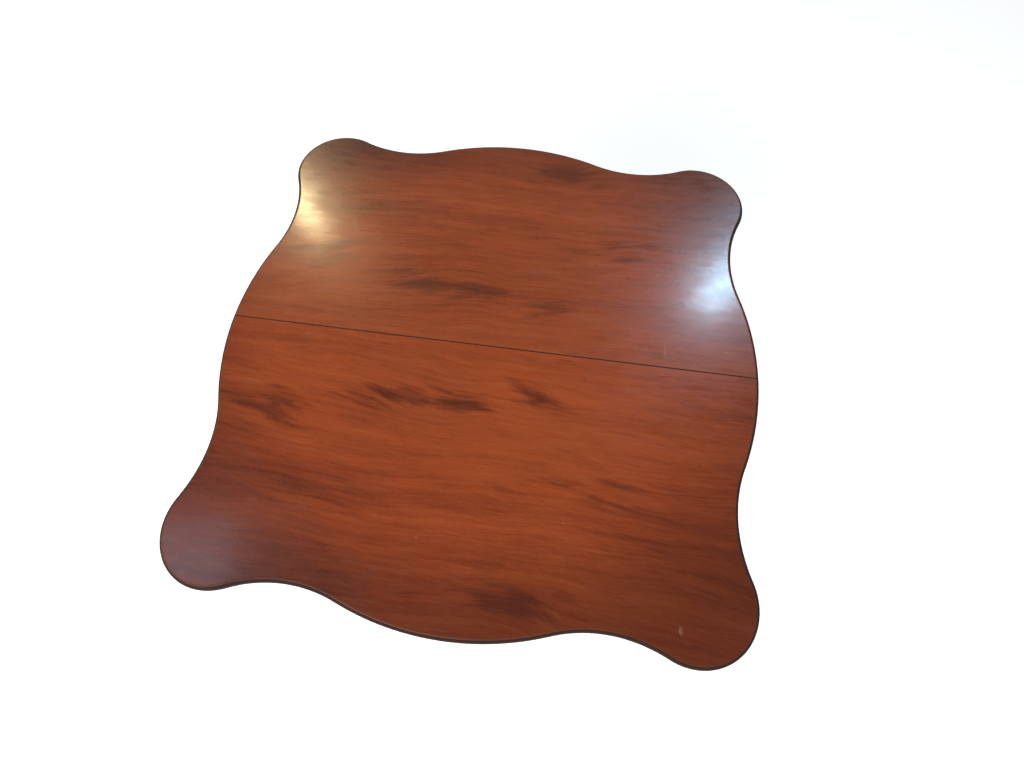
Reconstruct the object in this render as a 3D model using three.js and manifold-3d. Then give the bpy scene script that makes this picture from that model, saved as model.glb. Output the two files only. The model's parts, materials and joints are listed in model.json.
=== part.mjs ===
// Tilt-top tripod table with a scalloped square top, in millimetres, +Z up.
// The origin is on the floor, under the middle of the top, which is also the column's axis.
// -Y is the front, where the catch is; the top tilts about an X axis near the back of its block.
// The two boards of the top run along X, with their joint on Y = 0.
import * as THREE from "three";
import { mergeVertices } from "three/addons/utils/BufferGeometryUtils.js";
import Module from "manifold-3d";

const wasm = await Module();
wasm.setup();

// ---------------------------------------------------------------- driving dimensions
const CLEARANCE = 0.3; // between pieces that seat on, or fit into, each other
const CUT_PAST = 1; // how far a cutter runs past the face that it opens on

// Top: a circle with a round ear at each corner, joined by hollow arcs
const TABLE_HEIGHT = 711;
const TOP_DEPTH = 813; // across the grain, over two bulges
const GRAIN_STRETCH = 1.0175; // old boards have shrunk across the grain, so the top is longer along it
const EAR_INSET = 91.8; // from the middle of an edge, inwards, to the line of the ears' centres
const EAR_RADIUS = 78.7;
const HOLLOW_RADIUS = 197.8;
const TOP_THICKNESS = 20;
const TOP_EDGE_RADIUS = 7; // rounding of the top's edge, above and below
const OUTLINE_TOLERANCE = 0.4; // how far a straight step of the outline may stray from its arc
const BOARD_JOINT_GAP = 0.3; // the glue line has opened

// Block: it is fixed to the column and the top turns on it
const BLOCK_WIDTH = 170; // along X, between the battens
const BLOCK_DEPTH = 170;
const BLOCK_THICKNESS = 36;
const PIVOT_DROP = 18; // from the underside of the top down to the pivot's axis

// Battens
const BATTEN_WIDTH = 44;
const BATTEN_HEIGHT = 34;
const BATTEN_LENGTH = 600;
const BATTEN_END_HEIGHT = 14;
const BATTEN_TAPER_LENGTH = 70;
const BATTEN_SIDE_GAP = 0.7; // running gap between a batten and the block
const BATTEN_SCREW_END_DISTANCE = 28; // from a batten's end to its last screw
const BATTEN_SCREW_JOINT_DISTANCE = 38; // from the boards' joint to the nearest screw
const BATTEN_SCREWS_PER_BOARD = 3;

// Pivot screws
const PIVOT_RADIUS = 6;
const PIVOT_DEPTH_IN_BLOCK = 40;
const PIVOT_HEAD_RADIUS = 10;
const PIVOT_HEAD_THICKNESS = 4;
const PIVOT_HEAD_BEVEL = 3; // inwards, over the outer half of the head's thickness
const PIVOT_TIP = { inset: 1, length: 2 };

// Wood screws: head radius, shank radius, length
const BATTEN_SCREW = { head: 4.6, shank: 2.3, length: 38 };
const BATTEN_SCREW_BITE = 13; // how far it goes into the top
const SMALL_SCREW = { head: 3.4, shank: 1.6, length: 15 };
const PLATE_SCREW = { head: 4.2, shank: 2.1, length: 24 };
const SCREW_RIM = 0.5; // depth of the plain rim round a head
const SCREW_POINT_SHANKS = 2; // length of a point, in shank radii

// Column
const COLUMN_FOOT_HEIGHT = 104; // from the floor to the column's lower end
const COLUMN_FOOT_RADIUS = 41; // the drum that the legs are joined to
const DRUM_ABOVE_LEGS = 10;
const TENON_RADIUS = 17;
const WEDGE_THICKNESS = 3.2;
const WEDGE_TIP_THICKNESS = 1.2;
const WEDGE_DEPTH = 28;
const WEDGE_INSET = 1; // from the tenon's side in to the wedge's end

// Legs
const LEG_COUNT = 3;
const LEG_FIRST_ANGLE = -90; // degrees from +X: one leg points to the front
const LEG_ROOT_HEIGHT = 118; // of the leg where it meets the column
const LEG_ROOT_WIDTH = 46;
const LEG_REACH = 313; // from the column's axis to the middle of the toe
const TOE_HEIGHT = 9.5; // from the floor to the middle of the toe
const TONGUE_LENGTH = 17; // dovetail tongue that slides up into the column
const TONGUE_NECK_WIDTH = 13;
const TONGUE_END_WIDTH = 20;
const TONGUE_BELOW_LEG_TOP = 8;

// Iron plate under the column
const SPIDER_THICKNESS = 3;
const SPIDER_HUB_INSET = 7; // from the drum's side in to the hub's
const SPIDER_ARM_WIDTH = 22;
const SPIDER_ARM_OVERHANG = 21; // of an arm, past the drum's side
const ARM_SCREW_OUTSET = 11; // of an arm's screw, past the drum's side
const HUB_SCREW_INSET = 23; // of a hub's screw, inside the drum's side

// Catch: a sliding brass bolt under the front board, which shoots into a strike on the block
const CATCH_BLOCK_GAP = 2; // between the block and the catch
const CATCH_PLATE = { width: 56, depth: 46, thickness: 3 };
const CATCH_SCREW_INSET = 6;
const BOLT = { width: 12, height: 7, length: 62 };
const BOLT_TRAVEL = 10;
const BOLT_CHAMFER = 2;
const CASE_WALL = 1.5;
const CASE_LENGTH = 40;
const CASE_FLANGE_INSET = 1; // from the catch plate's edge to the case's
const KNOB_STEM_RADIUS = 2;
const KNOB_RADIUS = 6.5;
const KNOB_BACK = 30; // from the bolt's nose back to the knob
const STEM_HOLE_SHARE = 0.7; // depth of the stem's hole, as a share of the bolt's height
const SPRING = { length: 34, pocketDepth: 2, thickness: 0.6, height: 4.6 };
const STRIKE = { width: 36, thickness: 2, shelf: 20, belowBolt: 6 };
const BOLT_SOCKET_DEPTH = 15;

// ---------------------------------------------------------------- what follows from them
const TOP_UNDERSIDE = TABLE_HEIGHT - TOP_THICKNESS;
const BLOCK_TOP = TOP_UNDERSIDE - CLEARANCE;
const BLOCK_BOTTOM = BLOCK_TOP - BLOCK_THICKNESS;
const BLOCK_FRONT = -BLOCK_DEPTH / 2;
const PIVOT_Z = TOP_UNDERSIDE - PIVOT_DROP;
const PIVOT_CORNER_RADIUS = PIVOT_DROP - CLEARANCE; // the block's round corner, about the pivot
const PIVOT_Y = BLOCK_DEPTH / 2 - PIVOT_CORNER_RADIUS;
const BATTEN_X = BLOCK_WIDTH / 2 + BATTEN_SIDE_GAP + BATTEN_WIDTH / 2;
const BATTEN_TOP = TOP_UNDERSIDE - CLEARANCE;
const BOLT_ROOM = 2 * CLEARANCE; // round the bolt, in the strike and the block
const BATTEN_BOTTOM = BATTEN_TOP - BATTEN_HEIGHT;
const COLUMN_SHOULDER = BLOCK_BOTTOM - CLEARANCE;
const DRUM_LENGTH = LEG_ROOT_HEIGHT + DRUM_ABOVE_LEGS;

// ---------------------------------------------------------------- materials
const finish = (color, roughness, metalness) =>
  new THREE.MeshStandardMaterial({ color, roughness, metalness });
const topMahogany = finish(0x8a4229, 0.28, 0);
const mahogany = finish(0x6b2f1e, 0.36, 0);
const brass = finish(0xb08a4a, 0.35, 1);
const iron = finish(0x4a4744, 0.55, 1);
const steel = finish(0x8d8a86, 0.4, 1);

// ---------------------------------------------------------------- solids: joining and cutting
function toSolid(geometry) {
  const bare = geometry.clone();
  bare.deleteAttribute("normal");
  bare.deleteAttribute("uv");
  const merged = mergeVertices(bare, 1e-3);
  const triVerts = new Uint32Array(merged.index.array);
  const vertProperties = new Float32Array(merged.attributes.position.array);
  const solid = new wasm.Manifold(new wasm.Mesh({ numProp: 3, vertProperties, triVerts }));
  if (solid.volume() > 0) return solid;
  for (let i = 0; i < triVerts.length; i += 3) {
    [triVerts[i + 1], triVerts[i + 2]] = [triVerts[i + 2], triVerts[i + 1]];
  }
  return new wasm.Manifold(new wasm.Mesh({ numProp: 3, vertProperties, triVerts }));
}

function toGeometry(solid) {
  const mesh = solid.getMesh();
  const positions = new Float32Array(mesh.numVert * 3);
  for (let i = 0; i < mesh.numVert; i++) {
    const start = i * mesh.numProp;
    positions.set(mesh.vertProperties.subarray(start, start + 3), i * 3);
  }
  const geometry = new THREE.BufferGeometry();
  geometry.setAttribute("position", new THREE.BufferAttribute(positions, 3));
  geometry.setIndex(new THREE.BufferAttribute(new Uint32Array(mesh.triVerts), 1));
  geometry.computeVertexNormals();
  return geometry;
}

const outward = (geometry) => toGeometry(toSolid(geometry));

function cut(geometry, cutters) {
  return toGeometry(cutters.reduce((rest, cutter) => rest.subtract(toSolid(cutter)), toSolid(geometry)));
}

function join(geometries) {
  return toGeometry(geometries.map(toSolid).reduce((all, next) => all.add(next)));
}

// ---------------------------------------------------------------- shapes
const shapeOf = (points) => new THREE.Shape(points.map(([x, y]) => new THREE.Vector2(x, y)));

const moved = (geometry, x, y, z) => geometry.clone().translate(x, y, z);

const turned = (geometry, degrees) => geometry.clone().rotateZ(THREE.MathUtils.degToRad(degrees));

// A flat outline (x, y) raised from z0 to z1.
function raise(shape, z0, z1, curveSegments = 12) {
  const depth = z1 - z0;
  return new THREE.ExtrudeGeometry(shape, { depth, bevelEnabled: false, curveSegments }).translate(0, 0, z0);
}

// An outline in (y, z) drawn out along X from x0 to x1.
function drawAlongX(shape, x0, x1, curveSegments = 12) {
  const basis = new THREE.Matrix4().makeBasis(
    new THREE.Vector3(0, 1, 0),
    new THREE.Vector3(0, 0, 1),
    new THREE.Vector3(1, 0, 0),
  );
  return raise(shape, 0, x1 - x0, curveSegments).applyMatrix4(basis).translate(x0, 0, 0);
}

// An outline in (x, z) drawn out along Y from y0 to y1.
function drawAlongY(shape, y0, y1) {
  const basis = new THREE.Matrix4().makeBasis(
    new THREE.Vector3(1, 0, 0),
    new THREE.Vector3(0, 0, 1),
    new THREE.Vector3(0, -1, 0),
  );
  return raise(shape, 0, y1 - y0).applyMatrix4(basis).translate(0, y1, 0);
}

function box([x0, x1], [y0, y1], [z0, z1]) {
  const geometry = new THREE.BoxGeometry(x1 - x0, y1 - y0, z1 - z0);
  return geometry.translate((x0 + x1) / 2, (y0 + y1) / 2, (z0 + z1) / 2);
}

// A profile of (radius, height) turned about Z.
function turn(profile, segments) {
  const points = profile.map(([radius, height]) => new THREE.Vector2(radius, height));
  return new THREE.LatheGeometry(points, segments).rotateX(Math.PI / 2);
}

function cylinder(radius, z0, z1, segments = 24) {
  return turn([[0, z0], [radius, z0], [radius, z1], [0, z1]], segments);
}

// A cylinder along X.
function barAlongX(radius, x0, x1, segments = 24) {
  return cylinder(radius, x0, x1, segments).rotateY(Math.PI / 2);
}

// Countersunk wood screw, pointing up, with its head's flat face at z = 0. grow makes its hole.
const SCREW_SEGMENTS = 8;
function woodScrew({ head, shank, length }, grow = 0) {
  const point = SCREW_POINT_SHANKS * shank;
  return turn(
    [
      [0, -grow],
      [head + grow, -grow],
      [head + grow, SCREW_RIM + grow],
      [shank + grow, SCREW_RIM + head - shank + grow],
      [shank + grow, length - point + grow],
      [0, length + grow],
    ],
    SCREW_SEGMENTS,
  );
}

const screwHole = (screw) => woodScrew(screw, CLEARANCE);

// ---------------------------------------------------------------- the assembly and its pieces
const table = new THREE.Group();

function piece(name, geometry, material, parent = table) {
  const mesh = new THREE.Mesh(geometry, material);
  mesh.name = name;
  parent.add(mesh);
  return mesh;
}

const eachSide = [
  { side: "left", sign: -1 },
  { side: "right", sign: 1 },
];

// ---------------------------------------------------------------- top boards and battens
const earCentre = TOP_DEPTH / 2 - EAR_INSET;

// Points along an arc, without its last one. An arc that ends before it starts runs clockwise.
function arcPoints(centre, radius, start, end) {
  const step = 2 * Math.acos(1 - OUTLINE_TOLERANCE / radius);
  const arc = new THREE.EllipseCurve(centre.x, centre.y, radius, radius, start, end, end < start);
  return arc.getPoints(Math.ceil(Math.abs(end - start) / step)).slice(0, -1);
}

// One corner of the outline, from the middle of the +X bulge to the middle of the +Y bulge.
function cornerPoints() {
  const middle = new THREE.Vector2();
  const bulgeRadius = TOP_DEPTH / 2;
  const ear = new THREE.Vector2(earCentre, earCentre);
  const toHollow = bulgeRadius + HOLLOW_RADIUS;
  const earToHollow = EAR_RADIUS + HOLLOW_RADIUS;
  const along = (toHollow ** 2 - earToHollow ** 2 + ear.lengthSq()) / (2 * ear.length());
  const spread = Math.acos(along / toHollow); // from the ear's centre to a hollow's, seen from the middle
  const [first, second] = [Math.PI / 4 - spread, Math.PI / 4 + spread];
  const hollow = (angle) => new THREE.Vector2(toHollow, 0).rotateAround(middle, angle);
  const fromEar = hollow(first).sub(ear).angle() - 2 * Math.PI; // the first hollow's centre, from the ear's
  const toEar = hollow(second).sub(ear).angle();
  return [
    ...arcPoints(middle, bulgeRadius, 0, first),
    ...arcPoints(hollow(first), HOLLOW_RADIUS, first + Math.PI, fromEar + Math.PI),
    ...arcPoints(ear, EAR_RADIUS, fromEar, toEar),
    ...arcPoints(hollow(second), HOLLOW_RADIUS, toEar + Math.PI, second + Math.PI),
    ...arcPoints(middle, bulgeRadius, second, Math.PI / 2),
  ];
}

function topOutline() {
  const corner = cornerPoints();
  const quarters = [0, 1, 2, 3].map((i) => (i * Math.PI) / 2);
  const points = quarters.flatMap((angle) => corner.map((p) => p.clone().rotateAround(new THREE.Vector2(), angle)));
  return new THREE.Shape(points.map(({ x, y }) => new THREE.Vector2(x * GRAIN_STRETCH, y)));
}

function wholeTop() {
  const geometry = new THREE.ExtrudeGeometry(topOutline(), {
    depth: TOP_THICKNESS - 2 * TOP_EDGE_RADIUS,
    bevelThickness: TOP_EDGE_RADIUS,
    bevelSize: TOP_EDGE_RADIUS,
    bevelOffset: -TOP_EDGE_RADIUS,
    bevelSegments: 3,
  });
  return geometry.translate(0, 0, TOP_UNDERSIDE + TOP_EDGE_RADIUS);
}

// Distances of a batten's screws from the boards' joint, the same on each board.
const battenScrewRows = Array.from({ length: BATTEN_SCREWS_PER_BOARD }, (_, i) => {
  const last = BATTEN_LENGTH / 2 - BATTEN_SCREW_END_DISTANCE;
  const share = i / (BATTEN_SCREWS_PER_BOARD - 1);
  return THREE.MathUtils.lerp(BATTEN_SCREW_JOINT_DISTANCE, last, share);
});
const boards = [
  { board: "front", sign: -1 },
  { board: "rear", sign: 1 },
];
const battenScrewZ = TOP_UNDERSIDE + BATTEN_SCREW_BITE - BATTEN_SCREW.length;
const battenScrews = eachSide.flatMap(({ side, sign }) =>
  boards.flatMap(({ board, sign: boardSign }) =>
    battenScrewRows.map((distance, i) => ({
      name: `batten_screw_${side}_${board}_${i + 1}`,
      x: sign * BATTEN_X,
      y: boardSign * distance,
    })),
  ),
);
const battenScrewHoles = battenScrews.map(({ x, y }) => moved(screwHole(BATTEN_SCREW), x, y, battenScrewZ));

// The catch's plate hangs under the front board, with a screw at each corner.
const catchRear = BLOCK_FRONT - CATCH_BLOCK_GAP;
const catchFront = catchRear - CATCH_PLATE.depth;
const catchPlateTop = TOP_UNDERSIDE - CLEARANCE;
const catchPlateBottom = catchPlateTop - CATCH_PLATE.thickness;
const caseFlangeTop = catchPlateBottom - CLEARANCE;
const caseFlangeBottom = caseFlangeTop - CASE_WALL;
const catchMiddle = (catchFront + catchRear) / 2;
const caseFront = catchMiddle - CASE_LENGTH / 2;
const caseRear = catchMiddle + CASE_LENGTH / 2;
const catchScrews = eachSide.flatMap(({ side, sign }) =>
  [
    ["front", caseFront + CATCH_SCREW_INSET],
    ["rear", caseRear - CATCH_SCREW_INSET],
  ].map(([row, y]) => ({
    name: `catch_screw_${side}_${row}`,
    x: sign * (CATCH_PLATE.width / 2 - CATCH_SCREW_INSET),
    y,
  })),
);
const catchScrewHoles = catchScrews.map(({ x, y }) => moved(screwHole(SMALL_SCREW), x, y, caseFlangeBottom));

for (const { board, sign } of boards) {
  const inner = (sign * BOARD_JOINT_GAP) / 2;
  const outer = sign * TOP_DEPTH;
  const keep = box([-TOP_DEPTH, TOP_DEPTH], [Math.min(inner, outer), Math.max(inner, outer)], [0, 2 * TABLE_HEIGHT]);
  const half = toGeometry(toSolid(wholeTop()).intersect(toSolid(keep)));
  piece(`top_board_${board}`, cut(half, [...battenScrewHoles, ...catchScrewHoles]), topMahogany);
}

function battenShape() {
  const end = BATTEN_LENGTH / 2;
  const taper = end - BATTEN_TAPER_LENGTH;
  return shapeOf([
    [-end, BATTEN_TOP],
    [-end, BATTEN_TOP - BATTEN_END_HEIGHT],
    [-taper, BATTEN_BOTTOM],
    [taper, BATTEN_BOTTOM],
    [end, BATTEN_TOP - BATTEN_END_HEIGHT],
    [end, BATTEN_TOP],
  ]);
}

for (const { side, sign } of eachSide) {
  const inner = sign * (BATTEN_X - BATTEN_WIDTH / 2);
  const outer = sign * (BATTEN_X + BATTEN_WIDTH / 2);
  const bar = drawAlongX(battenShape(), Math.min(inner, outer), Math.max(inner, outer));
  const past = [Math.min(inner, outer) - CUT_PAST, Math.max(inner, outer) + CUT_PAST];
  const pivotHole = moved(barAlongX(PIVOT_RADIUS + CLEARANCE, ...past), 0, PIVOT_Y, PIVOT_Z);
  const counterbores = battenScrews.map(({ x, y }) =>
    moved(cylinder(BATTEN_SCREW.head + CLEARANCE, BATTEN_BOTTOM - CUT_PAST, battenScrewZ, SCREW_SEGMENTS), x, y, 0),
  );
  piece(`batten_${side}`, cut(bar, [pivotHole, ...battenScrewHoles, ...counterbores]), mahogany);
}

for (const { name, x, y } of battenScrews) {
  piece(name, outward(woodScrew(BATTEN_SCREW)), steel).position.set(x, y, battenScrewZ);
}

// ---------------------------------------------------------------- block, strike and pivots
const boltTop = catchPlateBottom - CLEARANCE;
const boltBottom = boltTop - BOLT.height;
const strikeTop = BLOCK_TOP - CLEARANCE;
const strikeFront = BLOCK_FRONT + CLEARANCE;
const boltWindow = [
  [-BOLT.width / 2 - BOLT_ROOM, BOLT.width / 2 + BOLT_ROOM],
  [boltBottom - BOLT_ROOM, boltTop + BOLT_ROOM],
];
const strikeScrews = eachSide.map(({ side, sign }) => ({
  name: `strike_screw_${side}`,
  x: (sign * STRIKE.width) / 4,
  y: strikeFront + STRIKE.shelf / 2 + STRIKE.thickness,
}));

// The screws of the strike point down, from the top of its shelf.
const strikeScrew = (grow) => woodScrew(SMALL_SCREW, grow).rotateX(Math.PI);

// An angle in (y, z): a shelf on the block's top and a lip down its front. grow makes its recess.
function strikeAngle(grow) {
  const halfWidth = STRIKE.width / 2 + grow;
  const front = strikeFront - grow;
  const top = strikeTop + grow;
  const inner = STRIKE.thickness + 2 * grow;
  const back = strikeFront + STRIKE.shelf + grow;
  const low = boltBottom - STRIKE.belowBolt - grow;
  const outline = shapeOf([
    [front, top],
    [front, low],
    [front + inner, low],
    [front + inner, top - inner],
    [back, top - inner],
    [back, top],
  ]);
  return drawAlongX(outline, -halfWidth, halfWidth);
}

function blockShape() {
  const shape = new THREE.Shape();
  shape.moveTo(BLOCK_FRONT, BLOCK_BOTTOM);
  shape.lineTo(BLOCK_DEPTH / 2, BLOCK_BOTTOM);
  shape.absarc(PIVOT_Y, PIVOT_Z, PIVOT_CORNER_RADIUS, 0, Math.PI / 2, false);
  shape.lineTo(BLOCK_FRONT, BLOCK_TOP);
  return shape;
}

function pivotCutters() {
  const inner = BLOCK_WIDTH / 2 - PIVOT_DEPTH_IN_BLOCK;
  return eachSide.map(({ sign }) => {
    const ends = [sign * (inner - CLEARANCE), sign * (BLOCK_WIDTH / 2 + CUT_PAST)].sort((a, b) => a - b);
    return moved(barAlongX(PIVOT_RADIUS + CLEARANCE, ...ends), 0, PIVOT_Y, PIVOT_Z);
  });
}

const boltSocket = box(boltWindow[0], [BLOCK_FRONT - CUT_PAST, BLOCK_FRONT + BOLT_SOCKET_DEPTH], boltWindow[1]);
piece(
  "block",
  cut(drawAlongX(blockShape(), -BLOCK_WIDTH / 2, BLOCK_WIDTH / 2), [
    cylinder(TENON_RADIUS + CLEARANCE, BLOCK_BOTTOM - CUT_PAST, BLOCK_TOP + CUT_PAST, 32),
    ...pivotCutters(),
    boltSocket,
    strikeAngle(CLEARANCE),
    ...strikeScrews.map(({ x, y }) => moved(strikeScrew(CLEARANCE), x, y, strikeTop)),
  ]),
  mahogany,
);

piece(
  "strike_plate",
  cut(strikeAngle(0), [
    boltSocket,
    ...strikeScrews.map(({ x, y }) => moved(strikeScrew(CLEARANCE), x, y, strikeTop)),
  ]),
  brass,
);
for (const { name, x, y } of strikeScrews) {
  piece(name, outward(strikeScrew(0)), brass).position.set(x, y, strikeTop);
}

// Pivot screw: a plain shank from the block out through the batten, with a round head outside.
function pivotScrew() {
  const shank = PIVOT_DEPTH_IN_BLOCK + BATTEN_SIDE_GAP + BATTEN_WIDTH + CLEARANCE;
  return turn(
    [
      [0, 0],
      [PIVOT_RADIUS - PIVOT_TIP.inset, 0],
      [PIVOT_RADIUS, PIVOT_TIP.length],
      [PIVOT_RADIUS, shank],
      [PIVOT_HEAD_RADIUS, shank],
      [PIVOT_HEAD_RADIUS, shank + PIVOT_HEAD_THICKNESS / 2],
      [PIVOT_HEAD_RADIUS - PIVOT_HEAD_BEVEL, shank + PIVOT_HEAD_THICKNESS],
      [0, shank + PIVOT_HEAD_THICKNESS],
    ],
    24,
  );
}
for (const { side, sign } of eachSide) {
  const screw = piece(`pivot_screw_${side}`, outward(pivotScrew()), steel);
  screw.position.set(sign * (BLOCK_WIDTH / 2 - PIVOT_DEPTH_IN_BLOCK), PIVOT_Y, PIVOT_Z);
  screw.rotation.y = (sign * Math.PI) / 2;
}

// ---------------------------------------------------------------- column and its wedge
// (radius, height above the column's lower end), from the foot up: a plain drum for the legs, a ring,
// an urn, a collar, a tapered shaft and a spreading cap under the block.
function columnProfile() {
  const height = COLUMN_SHOULDER - COLUMN_FOOT_HEIGHT;
  const upper = height - DRUM_LENGTH; // what is left for the turning above the drum
  const turning = [
    [47, 0.0],
    [50, 0.012],
    [50, 0.024],
    [47, 0.036],
    [36, 0.045],
    [31, 0.062],
    [34, 0.082],
    [44, 0.115],
    [51, 0.16],
    [53, 0.205],
    [49, 0.26],
    [39, 0.32],
    [29, 0.375],
    [24, 0.42],
    [25, 0.44],
    [34, 0.448],
    [37, 0.462],
    [34, 0.476],
    [27, 0.486],
    [27, 0.51],
    [29, 0.58],
    [28, 0.7],
    [24.5, 0.84],
    [24, 0.875],
    [31, 0.882],
    [33, 0.893],
    [31, 0.904],
    [27, 0.912],
    [29, 0.935],
    [35, 0.96],
    [46, 0.985],
    [48, 1.0],
  ];
  return [
    [0, 0],
    [COLUMN_FOOT_RADIUS, 0],
    [COLUMN_FOOT_RADIUS, DRUM_LENGTH],
    ...turning.map(([radius, share]) => [radius, DRUM_LENGTH + share * upper]),
    [TENON_RADIUS, height],
    [TENON_RADIUS, BLOCK_TOP - CLEARANCE - COLUMN_FOOT_HEIGHT],
    [0, BLOCK_TOP - CLEARANCE - COLUMN_FOOT_HEIGHT],
  ];
}

const legAngles = Array.from({ length: LEG_COUNT }, (_, i) => LEG_FIRST_ANGLE + (i * 360) / LEG_COUNT);

// A leg's dovetail tongue, for a leg along +X. grow makes its socket in the column.
function tongue(grow, outerRadius) {
  const neck = TONGUE_NECK_WIDTH / 2 + grow;
  const root = TONGUE_END_WIDTH / 2 + grow;
  const inner = COLUMN_FOOT_RADIUS - TONGUE_LENGTH - grow;
  const outline = shapeOf([
    [inner, -root],
    [COLUMN_FOOT_RADIUS, -neck],
    [outerRadius, -neck],
    [outerRadius, neck],
    [COLUMN_FOOT_RADIUS, neck],
    [inner, root],
  ]);
  const low = grow > 0 ? COLUMN_FOOT_HEIGHT - CUT_PAST : COLUMN_FOOT_HEIGHT;
  return raise(outline, low, COLUMN_FOOT_HEIGHT + LEG_ROOT_HEIGHT - TONGUE_BELOW_LEG_TOP + grow);
}

const wedgeTop = BLOCK_TOP - CLEARANCE;
function wedge(grow) {
  const halfTop = WEDGE_THICKNESS / 2 + grow;
  const halfTip = WEDGE_TIP_THICKNESS / 2 + grow;
  const tip = wedgeTop - WEDGE_DEPTH - grow;
  const top = wedgeTop + grow;
  const outline = shapeOf([
    [-halfTip, tip],
    [halfTip, tip],
    [halfTop, top],
    [-halfTop, top],
  ]);
  // The kerf runs right across the tenon; the wedge stops short of the block on each side.
  const reach = grow > 0 ? TENON_RADIUS + CUT_PAST : TENON_RADIUS - WEDGE_INSET;
  return drawAlongX(outline, -reach, reach);
}

const spiderTop = COLUMN_FOOT_HEIGHT - CLEARANCE;
const spiderBottom = spiderTop - SPIDER_THICKNESS;
const hubScrewX = COLUMN_FOOT_RADIUS - HUB_SCREW_INSET;
const armScrewX = COLUMN_FOOT_RADIUS + ARM_SCREW_OUTSET;
const hubScrewAngles = legAngles.map((angle) => angle + 180 / LEG_COUNT);
const hubScrewHoles = hubScrewAngles.map((angle) =>
  turned(moved(screwHole(PLATE_SCREW), hubScrewX, 0, spiderBottom), angle),
);
const armScrewHole = moved(screwHole(PLATE_SCREW), armScrewX, 0, spiderBottom);

piece(
  "column",
  cut(turn(columnProfile(), 32).translate(0, 0, COLUMN_FOOT_HEIGHT), [
    ...legAngles.map((angle) => turned(tongue(CLEARANCE, COLUMN_FOOT_RADIUS + CUT_PAST), angle)),
    ...hubScrewHoles,
    wedge(CLEARANCE),
  ]),
  mahogany,
);
piece("tenon_wedge", outward(wedge(0)), mahogany);

// ---------------------------------------------------------------- legs
// A cabriole leg along +X. Each station gives a place on its centre line: out is the share of the way
// from the column's side to the toe, and rise the share of the way up from the toe to the root. Then
// come the half height and half width of the section square to that line, and how square the section
// is (2 is an ellipse). The foot's lowest part is cut off level with the floor.
const LEG_STATIONS = [
  { out: -0.06, rise: 1.0, half: [LEG_ROOT_HEIGHT / 2, LEG_ROOT_WIDTH / 2], squareness: 4 },
  { out: 0.07, rise: 1.01, half: [LEG_ROOT_HEIGHT / 2, LEG_ROOT_WIDTH / 2], squareness: 4 },
  { out: 0.2, rise: 0.955, half: [48, 22], squareness: 3.4 },
  { out: 0.33, rise: 0.785, half: [36, 19], squareness: 2.8 },
  { out: 0.445, rise: 0.585, half: [27, 16], squareness: 2.4 },
  { out: 0.555, rise: 0.395, half: [20.5, 14], squareness: 2.2 },
  { out: 0.66, rise: 0.24, half: [16.5, 13.5], squareness: 2 },
  { out: 0.755, rise: 0.12, half: [15, 15], squareness: 2 },
  { out: 0.84, rise: 0.05, half: [15, 20], squareness: 2 },
  { out: 0.915, rise: 0.016, half: [14.5, 24], squareness: 2 },
  { out: 0.975, rise: 0.004, half: [11.5, 18], squareness: 2 },
  { out: 1, rise: 0, half: [6, 8], squareness: 2 },
];
const LEG_RINGS = 20;
const RING_POINTS = 16;

function legRings() {
  const rootHeight = COLUMN_FOOT_HEIGHT + LEG_ROOT_HEIGHT / 2;
  const line = new THREE.CatmullRomCurve3(
    LEG_STATIONS.map(({ out, rise }) => {
      const x = COLUMN_FOOT_RADIUS + out * (LEG_REACH - COLUMN_FOOT_RADIUS);
      return new THREE.Vector3(x, 0, TOE_HEIGHT + rise * (rootHeight - TOE_HEIGHT));
    }),
  );
  const size = new THREE.CatmullRomCurve3(
    LEG_STATIONS.map(({ half: [h, w], squareness }) => new THREE.Vector3(h, w, squareness)),
  );
  const across = new THREE.Vector3(0, 1, 0);
  return Array.from({ length: LEG_RINGS + 1 }, (_, i) => {
    const t = i / LEG_RINGS;
    const centre = line.getPoint(t);
    const up = new THREE.Vector3().crossVectors(line.getTangent(t), across);
    const { x: halfHeight, y: halfWidth, z: squareness } = size.getPoint(t);
    const rounded = (v) => Math.sign(v) * Math.abs(v) ** (2 / squareness);
    return Array.from({ length: RING_POINTS }, (_, j) => {
      const angle = (j / RING_POINTS) * 2 * Math.PI;
      return centre
        .clone()
        .addScaledVector(up, halfHeight * rounded(Math.cos(angle)))
        .addScaledVector(across, halfWidth * rounded(Math.sin(angle)));
    });
  });
}

// A closed skin over rings of points, with a fan over each end.
function loft(rings) {
  const count = rings[0].length;
  const points = rings.flat();
  const index = [];
  for (let i = 0; i + 1 < rings.length; i++) {
    for (let j = 0; j < count; j++) {
      const a = i * count + j;
      const b = i * count + ((j + 1) % count);
      index.push(a, b, b + count, a, b + count, a + count);
    }
  }
  for (const [ring, flip] of [[0, true], [rings.length - 1, false]]) {
    const middle = points.length;
    points.push(rings[ring].reduce((sum, p) => sum.add(p), new THREE.Vector3()).divideScalar(count));
    for (let j = 0; j < count; j++) {
      const a = ring * count + j;
      const b = ring * count + ((j + 1) % count);
      index.push(middle, ...(flip ? [b, a] : [a, b]));
    }
  }
  return new THREE.BufferGeometry().setFromPoints(points).setIndex(index);
}

function legGeometry() {
  const reach = 2 * TOP_DEPTH;
  const body = cut(loft(legRings()), [
    cylinder(COLUMN_FOOT_RADIUS + CLEARANCE, 0, TABLE_HEIGHT, 64),
    box([0, reach], [-reach, reach], [-reach, 0]),
  ]);
  return cut(join([body, tongue(0, armScrewX)]), [armScrewHole]);
}

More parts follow.
